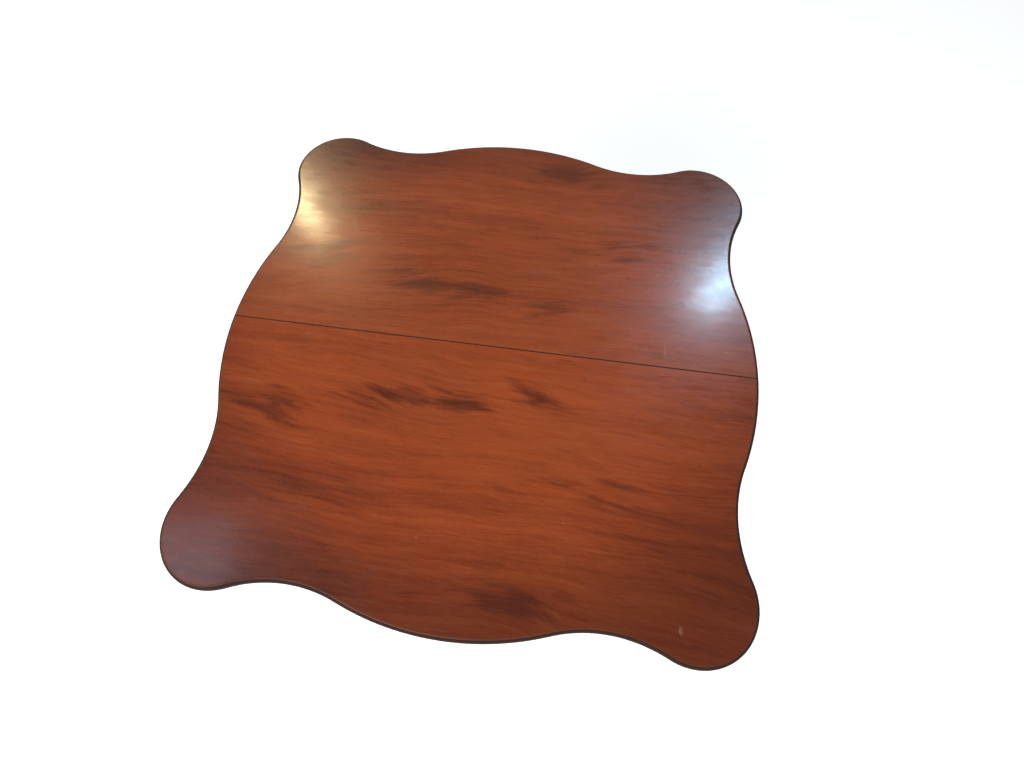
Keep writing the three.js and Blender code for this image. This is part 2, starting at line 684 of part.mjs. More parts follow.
const leg = legGeometry();
const legNames = ["front", "rear_right", "rear_left"];
legAngles.forEach((angle, i) => {
  const set = new THREE.Group();
  set.rotation.z = THREE.MathUtils.degToRad(angle);
  table.add(set);
  piece(`leg_${legNames[i]}`, leg, mahogany, set);
  const screw = piece(`spider_arm_screw_${legNames[i]}`, outward(woodScrew(PLATE_SCREW)), iron, set);
  screw.position.set(armScrewX, 0, spiderBottom);
});

// ---------------------------------------------------------------- iron plate under the column
const spiderHub = cylinder(COLUMN_FOOT_RADIUS - SPIDER_HUB_INSET, spiderBottom, spiderTop, 32);
const spiderArm = box(
  [0, COLUMN_FOOT_RADIUS + SPIDER_ARM_OVERHANG],
  [-SPIDER_ARM_WIDTH / 2, SPIDER_ARM_WIDTH / 2],
  [spiderBottom, spiderTop],
);
piece(
  "spider_plate",
  cut(
    join([spiderHub, ...legAngles.map((angle) => turned(spiderArm, angle))]),
    [...hubScrewHoles, ...legAngles.map((angle) => turned(armScrewHole, angle))],
  ),
  iron,
);
hubScrewAngles.forEach((angle, i) => {
  const set = new THREE.Group();
  set.rotation.z = THREE.MathUtils.degToRad(angle);
  table.add(set);
  const screw = piece(`spider_hub_screw_${i + 1}`, outward(woodScrew(PLATE_SCREW)), iron, set);
  screw.position.set(hubScrewX, 0, spiderBottom);
});

// ---------------------------------------------------------------- catch
piece(
  "catch_plate",
  cut(
    box([-CATCH_PLATE.width / 2, CATCH_PLATE.width / 2], [catchFront, catchRear], [catchPlateBottom, catchPlateTop]),
    catchScrewHoles,
  ),
  brass,
);

const boltNose = catchRear - CLEARANCE; // the bolt is drawn
const boltTail = boltNose - BOLT.length;
const knobY = boltNose - KNOB_BACK;
const stemHoleRadius = KNOB_STEM_RADIUS + CLEARANCE;
const stemHoleTop = boltBottom + STEM_HOLE_SHARE * BOLT.height;

// Top-hat section in (x, z): a flange each side on the plate and a channel for the bolt between them.
function caseShape() {
  const inner = BOLT.width / 2 + CLEARANCE;
  const outer = inner + CASE_WALL;
  const rim = CATCH_PLATE.width / 2 - CASE_FLANGE_INSET;
  const floorTop = boltBottom - CLEARANCE;
  const floorBottom = floorTop - CASE_WALL;
  return shapeOf([
    [-rim, caseFlangeTop],
    [-rim, caseFlangeBottom],
    [-outer, caseFlangeBottom],
    [-outer, floorBottom],
    [outer, floorBottom],
    [outer, caseFlangeBottom],
    [rim, caseFlangeBottom],
    [rim, caseFlangeTop],
    [inner, caseFlangeTop],
    [inner, floorTop],
    [-inner, floorTop],
    [-inner, caseFlangeTop],
  ]);
}
const knobSlot = box(
  [-stemHoleRadius, stemHoleRadius],
  [knobY - stemHoleRadius, knobY + BOLT_TRAVEL + stemHoleRadius],
  [BLOCK_BOTTOM, boltBottom],
);
piece(
  "catch_case",
  cut(drawAlongY(caseShape(), caseFront, caseRear), [knobSlot, ...catchScrewHoles]),
  brass,
);
for (const { name, x, y } of catchScrews) {
  piece(name, outward(woodScrew(SMALL_SCREW)), brass).position.set(x, y, caseFlangeBottom);
}

// The bolt, with a pocket in its right side for the leaf spring that makes it stiff to slide.
const springMiddle = caseRear - CASE_LENGTH / 2 - BOLT_TRAVEL / 2;
const pocketHalf = SPRING.length / 2 + CLEARANCE;
const springZ = (boltTop + boltBottom) / 2;
function boltSide() {
  return shapeOf([
    [boltTail, boltBottom],
    [boltNose - BOLT_CHAMFER, boltBottom],
    [boltNose, boltBottom + BOLT_CHAMFER],
    [boltNose, boltTop],
    [boltTail, boltTop],
  ]);
}
piece(
  "catch_bolt",
  cut(drawAlongX(boltSide(), -BOLT.width / 2, BOLT.width / 2), [
    moved(cylinder(stemHoleRadius, boltBottom - CUT_PAST, stemHoleTop, 16), 0, knobY, 0),
    box(
      [BOLT.width / 2 - SPRING.pocketDepth, BOLT.width],
      [springMiddle - pocketHalf, springMiddle + pocketHalf],
      [springZ - SPRING.height / 2 - CLEARANCE, springZ + SPRING.height / 2 + CLEARANCE],
    ),
  ]),
  brass,
);

// A shallow bow in (x, y): its ends bear in the pocket and its crown on the case's wall.
function leafSpring() {
  const innerFace = BOLT.width / 2 - SPRING.pocketDepth + CLEARANCE;
  const crown = BOLT.width / 2;
  const half = SPRING.length / 2;
  const bow = new THREE.QuadraticBezierCurve(
    new THREE.Vector2(innerFace, springMiddle - half),
    new THREE.Vector2(2 * (crown - SPRING.thickness) - innerFace, springMiddle),
    new THREE.Vector2(innerFace, springMiddle + half),
  );
  const inside = bow.getPoints(8);
  const outside = inside.map((p) => new THREE.Vector2(p.x + SPRING.thickness, p.y)).reverse();
  return raise(new THREE.Shape([...inside, ...outside]), springZ - SPRING.height / 2, springZ + SPRING.height / 2);
}
piece("catch_leaf_spring", outward(leafSpring()), steel);

const caseBottom = boltBottom - CLEARANCE - CASE_WALL;
// The turned knob hangs below the case; its heights are measured down from there.
piece(
  "catch_knob",
  outward(
    turn(
      [
        [0, caseBottom - 14],
        [4, caseBottom - 13.4],
        [KNOB_RADIUS, caseBottom - 10],
        [KNOB_RADIUS, caseBottom - 8],
        [4, caseBottom - 5],
        [2.6, caseBottom - 3],
        [3.6, caseBottom - 1],
        [3.6, caseBottom - CLEARANCE],
        [KNOB_STEM_RADIUS, caseBottom - CLEARANCE],
        [KNOB_STEM_RADIUS, stemHoleTop - CLEARANCE],
        [0, stemHoleTop - CLEARANCE],
      ],
      20,
    ),
  ),
  brass,
).position.y = knobY;

export default table;
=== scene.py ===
"""Looks of a tilt-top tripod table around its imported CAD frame, in metres, +Z up, front towards -Y.

The two figured boards of the scalloped top are bookmatched: their figure mirrors about the joint, y = 0.
"""

import json
import math

import bmesh
import bpy
import numpy as np
from mathutils import Matrix, Vector


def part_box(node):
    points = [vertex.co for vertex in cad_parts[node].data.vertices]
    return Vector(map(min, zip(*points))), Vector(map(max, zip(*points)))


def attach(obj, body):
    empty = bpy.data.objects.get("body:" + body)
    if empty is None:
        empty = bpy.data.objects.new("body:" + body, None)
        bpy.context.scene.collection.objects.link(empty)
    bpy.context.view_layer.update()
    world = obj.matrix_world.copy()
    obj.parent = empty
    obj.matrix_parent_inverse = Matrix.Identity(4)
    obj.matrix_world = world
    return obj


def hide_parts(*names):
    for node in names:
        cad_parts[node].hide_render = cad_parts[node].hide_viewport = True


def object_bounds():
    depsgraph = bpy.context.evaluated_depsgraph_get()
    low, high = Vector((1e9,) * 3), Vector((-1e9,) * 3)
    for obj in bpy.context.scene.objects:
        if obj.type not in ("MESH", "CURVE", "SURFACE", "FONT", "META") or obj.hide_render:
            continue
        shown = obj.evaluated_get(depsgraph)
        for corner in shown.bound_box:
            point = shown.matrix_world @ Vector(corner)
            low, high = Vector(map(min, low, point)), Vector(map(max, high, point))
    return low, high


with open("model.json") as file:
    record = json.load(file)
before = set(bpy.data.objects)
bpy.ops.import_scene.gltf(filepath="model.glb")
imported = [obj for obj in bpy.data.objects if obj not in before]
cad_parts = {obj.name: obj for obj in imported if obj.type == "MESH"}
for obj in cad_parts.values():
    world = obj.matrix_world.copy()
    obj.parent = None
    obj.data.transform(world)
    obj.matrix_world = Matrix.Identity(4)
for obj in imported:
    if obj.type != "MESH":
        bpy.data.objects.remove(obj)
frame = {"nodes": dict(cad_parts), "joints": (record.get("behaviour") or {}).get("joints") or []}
CAD_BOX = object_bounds()
MM = 0.001


# ---------------------------------------------------------------- camera, lights and floor
CAMERA_AT = Vector((0.0860, -0.2746, 1.333))
CAMERA_FORWARD = Vector((-0.05888, 0.32943, -0.94234))
CAMERA_UP = Vector((-0.12482, 0.93414, 0.33436))
CAMERA_LENS_MM = 15.484  # on a sensor 36 mm wide

# Lights that show in the polish: the point on the top where the light's mirror image lies, the direction
# (azimuth, elevation in degrees) and distance from there to the light, its colour, size and power.
WINDOWS = {
    "warm_window": ((-0.446, 0.250), (131, 43), 2.6, (1.0, 0.80, 0.44), (0.14, 0.50), 13),
    "cool_window": ((0.413, 0.190), (58, 50), 2.6, (0.46, 0.76, 1.0), (0.19, 0.55), 20),
    "far_window": ((-0.395, -0.400), (-169, 55), 2.4, (0.78, 0.82, 1.0), (0.5, 0.5), 2.4),
}
# Studio lights, aimed at LIT_POINT: place, colour, size and power.
STUDIO_LIGHTS = {
    "key": ((-1.2, -3.2, 2.6), (1.0, 0.96, 0.90), (2.4, 1.6), 140),
    "fill": ((-3.0, -1.6, 1.5), (1.0, 0.98, 0.95), (1.8, 1.8), 22),
}
LIT_POINT = (0, 0, 0.4)
# The backdrop is pale at the horizon and dim overhead, where the polished top would mirror it. The strength
# fades with the height of the direction.
SKY_COLOUR = (1.0, 0.99, 0.97, 1)
SKY_FADE = {"From Min": 0.2, "From Max": 0.75, "To Min": 0.75, "To Max": 0.13}
FLOOR_HALF = 14


def add_camera():
    data = bpy.data.cameras.new("camera")
    data.lens = CAMERA_LENS_MM
    data.sensor_width = 36
    camera = bpy.data.objects.new("camera", data)
    right = CAMERA_FORWARD.cross(CAMERA_UP)
    camera.matrix_world = Matrix((right, CAMERA_UP, -CAMERA_FORWARD)).transposed().to_4x4()
    camera.location = CAMERA_AT
    bpy.context.scene.collection.objects.link(camera)
    bpy.context.scene.camera = camera


def add_area_light(name, at, towards, colour, size, power):
    data = bpy.data.lights.new(name, "AREA")
    data.shape = "RECTANGLE"
    data.size, data.size_y = size
    data.color = colour
    data.energy = power
    light = bpy.data.objects.new(name, data)
    light.location = at
    light.rotation_euler = (Vector(towards) - Vector(at)).to_track_quat("-Z", "Y").to_euler()
    bpy.context.scene.collection.objects.link(light)


def add_lights():
    top = CAD_BOX[1].z
    for name, ((x, y), (azimuth, elevation), distance, colour, size, power) in WINDOWS.items():
        a, e = math.radians(azimuth), math.radians(elevation)
        away = Vector((math.cos(a) * math.cos(e), math.sin(a) * math.cos(e), math.sin(e)))
        spot = Vector((x, y, top))
        add_area_light(name, spot + distance * away, spot, colour, size, power)
    for name, (at, colour, size, power) in STUDIO_LIGHTS.items():
        add_area_light(name, at, LIT_POINT, colour, size, power)


def add_backdrop():
    world = bpy.data.worlds.new("studio")
    bpy.context.scene.world = world
    world.use_nodes = True
    tree = world.node_tree
    sky = tree.nodes["Background"]
    sky.inputs["Color"].default_value = SKY_COLOUR
    towards = tree.nodes.new("ShaderNodeTexCoord")
    split = tree.nodes.new("ShaderNodeSeparateXYZ")
    fade = tree.nodes.new("ShaderNodeMapRange")
    fade.interpolation_type = "SMOOTHSTEP"
    for key, value in SKY_FADE.items():
        fade.inputs[key].default_value = value
    tree.links.new(towards.outputs["Generated"], split.inputs["Vector"])
    tree.links.new(split.outputs["Z"], fade.inputs["Value"])
    tree.links.new(fade.outputs["Result"], sky.inputs["Strength"])


def add_floor(material):
    bm = bmesh.new()
    bmesh.ops.create_grid(bm, x_segments=1, y_segments=1, size=FLOOR_HALF)
    floor = make_object("floor", mesh_of(bm, "floor"))
    floor.data.materials.append(material)


# ---------------------------------------------------------------- meshes
def mesh_of(bm, name, sharp_degrees=None):
    """A Blender mesh of bm. With sharp_degrees it is shaded smooth, with steeper edges left sharp."""
    mesh = bpy.data.meshes.new(name)
    bmesh.ops.recalc_face_normals(bm, faces=bm.faces)
    bm.to_mesh(mesh)
    bm.free()
    if sharp_degrees is not None:
        shade(mesh, sharp_degrees)
    return mesh


def shade(mesh, sharp_degrees):
    mesh.shade_smooth()
    mesh.set_sharp_from_angle(angle=math.radians(sharp_degrees))


def smooth_line(points, steps):
    """A curve through the points, with steps pieces between each two, as Catmull and Rom draw it."""
    points = np.asarray(points, float)
    padded = np.vstack([2 * points[0] - points[1], points, 2 * points[-1] - points[-2]])
    shares = np.arange(steps)[:, None] / steps
    pieces = []
    for a, b, c, d in zip(padded, padded[1:], padded[2:], padded[3:]):
        bend = (2 * a - 5 * b + 4 * c - d) * shares**2 + (3 * b - a - 3 * c + d) * shares**3
        pieces.append(b + 0.5 * ((c - a) * shares + bend))
    return np.vstack([*pieces, points[-1:]])


def lathe(name, profile, segments, sharp_degrees=35):
    """A solid turned about Z from (radius, height) points that start and end on the axis."""
    bm = bmesh.new()
    turns = 2 * math.pi * np.arange(segments) / segments
    rings = []
    for radius, height in profile:
        on_axis = radius < 1e-6
        angles = turns[:1] if on_axis else turns
        rings.append([bm.verts.new((radius * math.cos(a), radius * math.sin(a), height)) for a in angles])
    for below, above in zip(rings, rings[1:]):
        for i in range(segments):
            j = (i + 1) % segments
            corners = [below[i % len(below)], below[j % len(below)]]
            corners += [above[j % len(above)], above[i % len(above)]]
            corners = list(dict.fromkeys(corners))
            if len(corners) > 2:
                bm.faces.new(corners)
    return mesh_of(bm, name, sharp_degrees)


def cylinder(radius, low, high, segments=48):
    return lathe("cylinder", [(0, low), (radius, low), (radius, high), (0, high)], segments)


def prism(name, outline, axis, low, high, bevel=0.0):
    """An outline drawn out along axis from low to high, with its sharp edges eased by bevel.

    The outline is in (y, z) for axis x, in (x, z) for y and in (x, y) for z.
    """
    index = "xyz".index(axis)
    bm = bmesh.new()
    starts = [bm.verts.new(np.insert(point, index, low)) for point in np.asarray(outline, float)]
    face = bm.faces.new(starts)
    drawn = bmesh.ops.extrude_face_region(bm, geom=[face])["geom"]
    along = Vector(np.insert(np.zeros(2), index, high - low))
    far_verts = [v for v in drawn if isinstance(v, bmesh.types.BMVert)]
    bmesh.ops.translate(bm, verts=far_verts, vec=along)
    bmesh.ops.recalc_face_normals(bm, faces=bm.faces)
    if bevel:
        edges = [e for e in bm.edges if e.calc_face_angle(0) > math.radians(30)]
        rounding = {"segments": 3, "profile": 0.5, "affect": "EDGES", "clamp_overlap": True}
        bmesh.ops.bevel(bm, geom=edges, offset=bevel, **rounding)
    return mesh_of(bm, name, 50)


def rectangle(low, high):
    return [(low[0], low[1]), (high[0], low[1]), (high[0], high[1]), (low[0], high[1])]


def slab(name, low, high, bevel=0.0):
    return prism(name, rectangle(low, high), "z", low[2], high[2], bevel)


def moved(mesh, place):
    mesh.transform(Matrix.Translation(place) if isinstance(place, (tuple, Vector)) else place)
    return mesh


def combined(operation, mesh, *others, sharp_degrees=35):
    """mesh with the others cut from it or joined to it; the others are used up."""
    piece = make_object("piece", mesh)
    helpers = [make_object("helper", other) for other in others]
    for helper in helpers:
        modifier = piece.modifiers.new("combine", "BOOLEAN")
        modifier.operation = operation
        modifier.solver = "EXACT"
        modifier.object = helper
    graph = bpy.context.evaluated_depsgraph_get()
    result = bpy.data.meshes.new_from_object(piece.evaluated_get(graph))
    result.name = mesh.name
    for used in (piece, *helpers):
        bpy.data.objects.remove(used)
    shade(result, sharp_degrees)
    return result


def cut(mesh, *cutters):
    return combined("DIFFERENCE", mesh, *cutters)


def make_object(name, mesh, place=None):
    piece = bpy.data.objects.new(name, mesh)
    if place is not None:
        piece.matrix_world = place
    bpy.context.scene.collection.objects.link(piece)
    return piece


def finish_piece(piece, body, slot, material, *nodes):
    piece.data.materials.clear()
    piece.data.materials.append(material)
    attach(piece, body)
    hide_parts(*nodes)


# ---------------------------------------------------------------- the top's outline and boards
TOP_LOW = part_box("top_board_front")[0]
TOP_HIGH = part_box("top_board_rear")[1]
BULGE_RADIUS = TOP_HIGH.y
GRAIN_STRETCH = TOP_HIGH.x / TOP_HIGH.y  # old boards have shrunk across the grain
EAR_INSET = 91.8 * MM
EAR_RADIUS = 78.7 * MM
HOLLOW_RADIUS = 197.8 * MM
EDGE_RADIUS = 7 * MM
EDGE_STEPS = 9
OUTLINE_STEP = 4 * MM
JOINT_GAP = 0.3 * MM
JOINT_ARRIS = 0.35 * MM
BOARD_ROWS = 26
LAST_ROW = 0.996  # share of the way out of one more row, close to the rounded edge
FAN = 1.5  # keeps the grid lines that fan out across a board clear of the hollows
MERGE_DISTANCE = 0.002 * MM
# How far an old board's face stands from flat.
CUPPING = 0.45 * MM
WINDING = 0.35 * MM
WINDS_PER_METRE = 1.1
JOINT_LIP = 0.35 * MM
JOINT_LIP_WIDTH = 50 * MM


def arc_points(centre, radius, start, end):
    """Points every OUTLINE_STEP along an arc, without its last one, and its directions from the centre."""
    steps = max(2, math.ceil(abs(end - start) * radius / OUTLINE_STEP))
    angles = start + (end - start) * np.arange(steps) / steps
    towards = np.column_stack([np.cos(angles), np.sin(angles)])
    return centre + radius * towards, towards


def outline_quarter():
    """Points and outward normals from the middle of the +X bulge to that of the +Y bulge."""
    middle = np.zeros(2)
    ear = np.full(2, BULGE_RADIUS - EAR_INSET)
    ear_distance = np.linalg.norm(ear)
    to_hollow = BULGE_RADIUS + HOLLOW_RADIUS
    ear_to_hollow = EAR_RADIUS + HOLLOW_RADIUS
    along = (to_hollow**2 - ear_to_hollow**2 + ear_distance**2) / (2 * ear_distance)
    spread = math.acos(along / to_hollow)
    first, second = math.pi / 4 - spread, math.pi / 4 + spread
    hollows = [to_hollow * np.array([math.cos(a), math.sin(a)]) for a in (first, second)]
    from_ear, to_ear = [math.atan2(*(h - ear)[::-1]) for h in hollows]
    arcs = [
        (middle, BULGE_RADIUS, 0, first, 1),
        (hollows[0], HOLLOW_RADIUS, first + math.pi, from_ear + math.pi, -1),
        (ear, EAR_RADIUS, from_ear, to_ear, 1),
        (hollows[1], HOLLOW_RADIUS, to_ear + math.pi, second + math.pi, -1),
        (middle, BULGE_RADIUS, second, math.pi / 2, 1),
    ]
    points, normals = [], []
    for centre, radius, start, end, side in arcs:
        on_arc, towards = arc_points(centre, radius, start, end)
        points.append(on_arc)
        normals.append(side * towards)
    return np.vstack(points), np.vstack(normals)


def outline_half():
    """Points and normals of the rear half, from the +X end of the joint round to the -X end."""
    points, normals = outline_quarter()
    flip = np.array([-1, 1])
    middle = np.array([[0, BULGE_RADIUS]])
    points = np.vstack([points, middle, points[::-1] * flip])
    normals = np.vstack([normals, [[0, 1]], normals[::-1] * flip])
    return points, normals


def warp(x, y, side):
    """The height added at a place: cupping, winding, and a lip at the -X end of the front board's joint."""
    away = np.abs(y)
    cup = CUPPING * np.cos(math.pi * away / BULGE_RADIUS)
    wind = WINDING * np.sin(2 * math.pi * WINDS_PER_METRE * x + 0.9 * side) * away / BULGE_RADIUS
    lip = JOINT_LIP * (side < 0) * np.clip(-x / BULGE_RADIUS, 0, 1) * np.exp(-away / JOINT_LIP_WIDTH)
    return -cup + wind + lip


def board_section():
    """The closed section of a board: up the joint, out along the top, round the edge and back underneath.

    Each row is (share of the way out, inset from the outline, height, whether it is on the joint's face).
    """
    top, bottom = TOP_HIGH.z, TOP_LOW.z
    shares = np.append(np.linspace(0, 1, BOARD_ROWS), 1)
    shares[-2] = LAST_ROW
    turn = np.linspace(0, math.pi / 2, EDGE_STEPS)[1:]
    inset = EDGE_RADIUS * (1 - np.sin(turn))
    drop = EDGE_RADIUS * (1 - np.cos(turn))
    rows = [(0, EDGE_RADIUS, top - JOINT_ARRIS, True)]
    rows += [(share, EDGE_RADIUS, top, False) for share in shares]
    rows += [(1, i, top - d, False) for i, d in zip(inset, drop)]
    rows += [(1, i, bottom + d, False) for i, d in zip(inset[::-1], drop[::-1])]
    rows += [(share, EDGE_RADIUS, bottom, False) for share in shares[::-1]]
    rows += [(0, EDGE_RADIUS, bottom + JOINT_ARRIS, True)]
    return rows


def board_mesh(name, side):
    """One board: side is 1 for the rear board and -1 for the front one."""
    points, normals = outline_half()
    angles = np.arctan2(points[:, 1], points[:, 0])
    grid = []
    for share, inset, height, at_face in board_section():
        out = points - inset * normals
        turn = np.cos(angles)
        foot = np.column_stack([(BULGE_RADIUS - inset) * np.sign(turn) * np.abs(turn) ** FAN, 0 * turn])
        place = foot + share * (out - foot)
        edge = JOINT_GAP / 2 + (0 if at_face else JOINT_ARRIS)
        x = place[:, 0] * GRAIN_STRETCH
        y = side * (edge + place[:, 1] * (1 - edge / BULGE_RADIUS))
        grid.append(np.column_stack([x, y, height + warp(x, y, side)]))
    grid = np.array(grid)
    rows, columns = grid.shape[:2]
    bm = bmesh.new()
    verts = [[bm.verts.new(grid[r, c]) for c in range(columns)] for r in range(rows)]
    for r in range(rows):
        above = (r + 1) % rows
        for c in range(columns - 1):
            bm.faces.new((verts[r][c], verts[r][c + 1], verts[above][c + 1], verts[above][c]))
    for c in (0, columns - 1):
        bm.faces.new([verts[r][c] for r in range(rows)])
    bmesh.ops.remove_doubles(bm, verts=bm.verts, dist=MERGE_DISTANCE)
    return mesh_of(bm, name, 40)


# ---------------------------------------------------------------- materials
def linear(red, green, blue):
    """A colour given as it looks on a screen, 0 to 255, as the linear values a shader takes."""
    shares = [c / 255 for c in (red, green, blue)]
    return [c / 12.92 if c <= 0.04045 else ((c + 0.055) / 1.055) ** 2.4 for c in shares] + [1.0]


class Graph:
    """A material's node tree, with short calls for the nodes used here."""

    def __init__(self, name):
        self.material = bpy.data.materials.new(name)
        self.material.use_nodes = True
        self.tree = self.material.node_tree
        self.shader = self.tree.nodes["Principled BSDF"]

    def add(self, kind, inputs=(), **settings):
        node = self.tree.nodes.new(kind)
        for key, value in settings.items():
            setattr(node, key, value)
        for key, value in dict(inputs).items():
            self.put(node.inputs[key], value)
        return node

    def put(self, socket, value):
        if isinstance(value, bpy.types.NodeSocket):
            self.tree.links.new(value, socket)
        else:
            socket.default_value = value

    def shade(self, **inputs):
        for key, value in inputs.items():
            self.put(self.shader.inputs[key.replace("_", " ")], value)
        return self.material

    def place(self):
        return self.add("ShaderNodeTexCoord").outputs["Object"]

    def math(self, operation, *values):
        node = self.add("ShaderNodeMath", operation=operation)
        for socket, value in zip(node.inputs, values):
            self.put(socket, value)
        return node.outputs[0]

    def scaled(self, vector, scale, at=(0, 0, 0)):
        node = self.add("ShaderNodeMapping", {"Vector": vector, "Location": at, "Scale": scale})
        return node.outputs["Vector"]

    def noise(self, vector, scale, detail=2.0, roughness=0.5, at=(0, 0, 0)):
        inputs = {"Scale": 1.0, "Detail": detail, "Roughness": roughness}
        inputs["Vector"] = self.scaled(vector, scale, at)
        return self.add("ShaderNodeTexNoise", inputs).outputs["Fac"]

    def centred(self, value, amount):
        """value, a noise about 0.5, as a change of up to half of amount each way."""
        return self.times(self.math("SUBTRACT", value, 0.5), amount)

    def chained(self, operation, values):
        """The values joined one after another by the operation."""
        result = values[0]
        for value in values[1:]:
            result = self.math(operation, result, value)
        return result

    def total(self, *values):
        return self.chained("ADD", values)

    def times(self, first, second):
        return self.math("MULTIPLY", first, second)

    def vector(self, x, y, z):
        return self.add("ShaderNodeCombineXYZ", {"X": x, "Y": y, "Z": z}).outputs["Vector"]

    def step(self, value, low, high):
        """0 below low, 1 above high and smooth between; with low above high it falls instead."""
        inputs = {"Value": value, "From Min": min(low, high), "From Max": max(low, high)}
        rising = self.add("ShaderNodeMapRange", inputs, interpolation_type="SMOOTHSTEP").outputs["Result"]
        return rising if low < high else self.math("SUBTRACT", 1.0, rising)

    def ramp(self, value, stops):
        node = self.add("ShaderNodeValToRGB", {"Fac": value})
        elements = node.color_ramp.elements
        while len(elements) < len(stops):
            elements.new(0.5)
        for element, (position, colour) in zip(elements, stops):
            element.position = position
            element.color = colour
        return node.outputs["Color"]

    def mix(self, share, first, second):
        node = self.add("ShaderNodeMix", data_type="RGBA")
        self.put(node.inputs["Factor"], share)
        self.put(node.inputs[6], first)  # the node's colour sockets are found by number
        self.put(node.inputs[7], second)
        return node.outputs[2]

    def bump(self, height, distance):
        inputs = {"Height": height, "Distance": distance}
        return self.add("ShaderNodeBump", inputs).outputs["Normal"]

    def spot(self, vector, centre, size):
        """1 at centre, falling to 0 at an ellipse of half lengths size."""
        scale = tuple(1 / s for s in size)
        at = tuple(-c / s for c, s in zip(centre, size))
        inputs = {"Vector": self.scaled(vector, scale, at)}
        return self.add("ShaderNodeTexGradient", inputs, gradient_type="SPHERICAL").outputs["Fac"]


# Dark flames in the figure: (along the joint, away from the joint), half lengths, depth of tone.
FLAMES = [
    ((0.090, 0.078), (0.085, 0.036), 1.0),
    ((0.000, 0.095), (0.130, 0.030), 0.9),
    ((-0.130, 0.098), (0.130, 0.028), 0.8),
    ((-0.300, 0.135), (0.110, 0.050), 0.7),
    ((0.035, 0.318), (0.070, 0.020), 0.7),
    ((0.100, 0.348), (0.090, 0.036), 0.9),
    ((0.200, 0.200), (0.160, 0.050), 0.5),
]
# Pale scuffs and specks in the polish: centre, half lengths.
SCUFFS = [
    ((0.272, 0.030), (0.0022, 0.030)),
    ((0.365, 0.036), (0.010, 0.003)),
    ((0.143, -0.245), (0.0025, 0.0022)),
    ((0.300, -0.352), (0.004, 0.009)),
    ((-0.050, -0.290), (0.002, 0.002)),
]


def board_coordinates(g):
    """Coordinates on the bookmatched boards.

    flat is folded about the joint, grain follows the wandering grain, and flaming lies slightly across it
    with ragged ends.
    """
    place = g.place()
    split = g.add("ShaderNodeSeparateXYZ", {"Vector": place})
    x, y = split.outputs["X"], split.outputs["Y"]
    folded = g.math("ABSOLUTE", y)
    side = g.math("SIGN", y)
    flat = g.vector(x, folded, 0.0)
    sway = g.centred(g.noise(flat, (2.2, 4.0, 1), 2), 0.085)
    ripple = g.centred(g.noise(flat, (11, 13, 1), 2), 0.010)
    across = g.total(folded, sway, ripple, g.times(side, 0.0012))
    depth = g.times(side, 0.013)
    ragged = g.total(x, g.centred(g.noise(flat, (40, 620, 1), 2), 0.06))
    sloped = g.total(across, g.times(x, -0.13))
    grain = g.vector(x, across, depth)
    flaming = g.vector(ragged, sloped, depth)
    return place, folded, side, flat, grain, flaming


def flame_mask(g, flat, flaming):
    spots = [g.times(g.spot(flat, (*at, 0), (*size, 1)), strength) for at, size, strength in FLAMES]
    streaks = g.noise(flaming, (6, 40, 3), 3, 0.66, (2, 0, 0))
    return g.step(g.total(streaks, g.times(g.chained("MAXIMUM", spots), 0.42)), 0.60, 0.88)


def scuff_mask(g, place):
    spots = [g.spot(place, (*at, TOP_HIGH.z), (*size, 0.01)) for at, size in SCUFFS]
    broken = g.step(g.noise(place, (900, 900, 900), 2), 0.35, 0.6)
    return g.times(g.step(g.chained("MAXIMUM", spots), 0.15, 0.8), broken)


def raw_wood(g, level):
    tones = [(0.1, (60, 33, 20)), (0.45, (96, 58, 36)), (0.65, (118, 76, 50)), (0.9, (140, 96, 66))]
    return g.ramp(level, [(position, linear(*colour)) for position, colour in tones])


def polished_wood(g, level):
    tones = [(0.08, (70, 27, 12)), (0.36, (112, 46, 20)), (0.55, (146, 62, 26)), (0.75, (166, 76, 34))]
    tones.append((0.95, (184, 96, 48)))
    return g.ramp(level, [(position, linear(*colour)) for position, colour in tones])


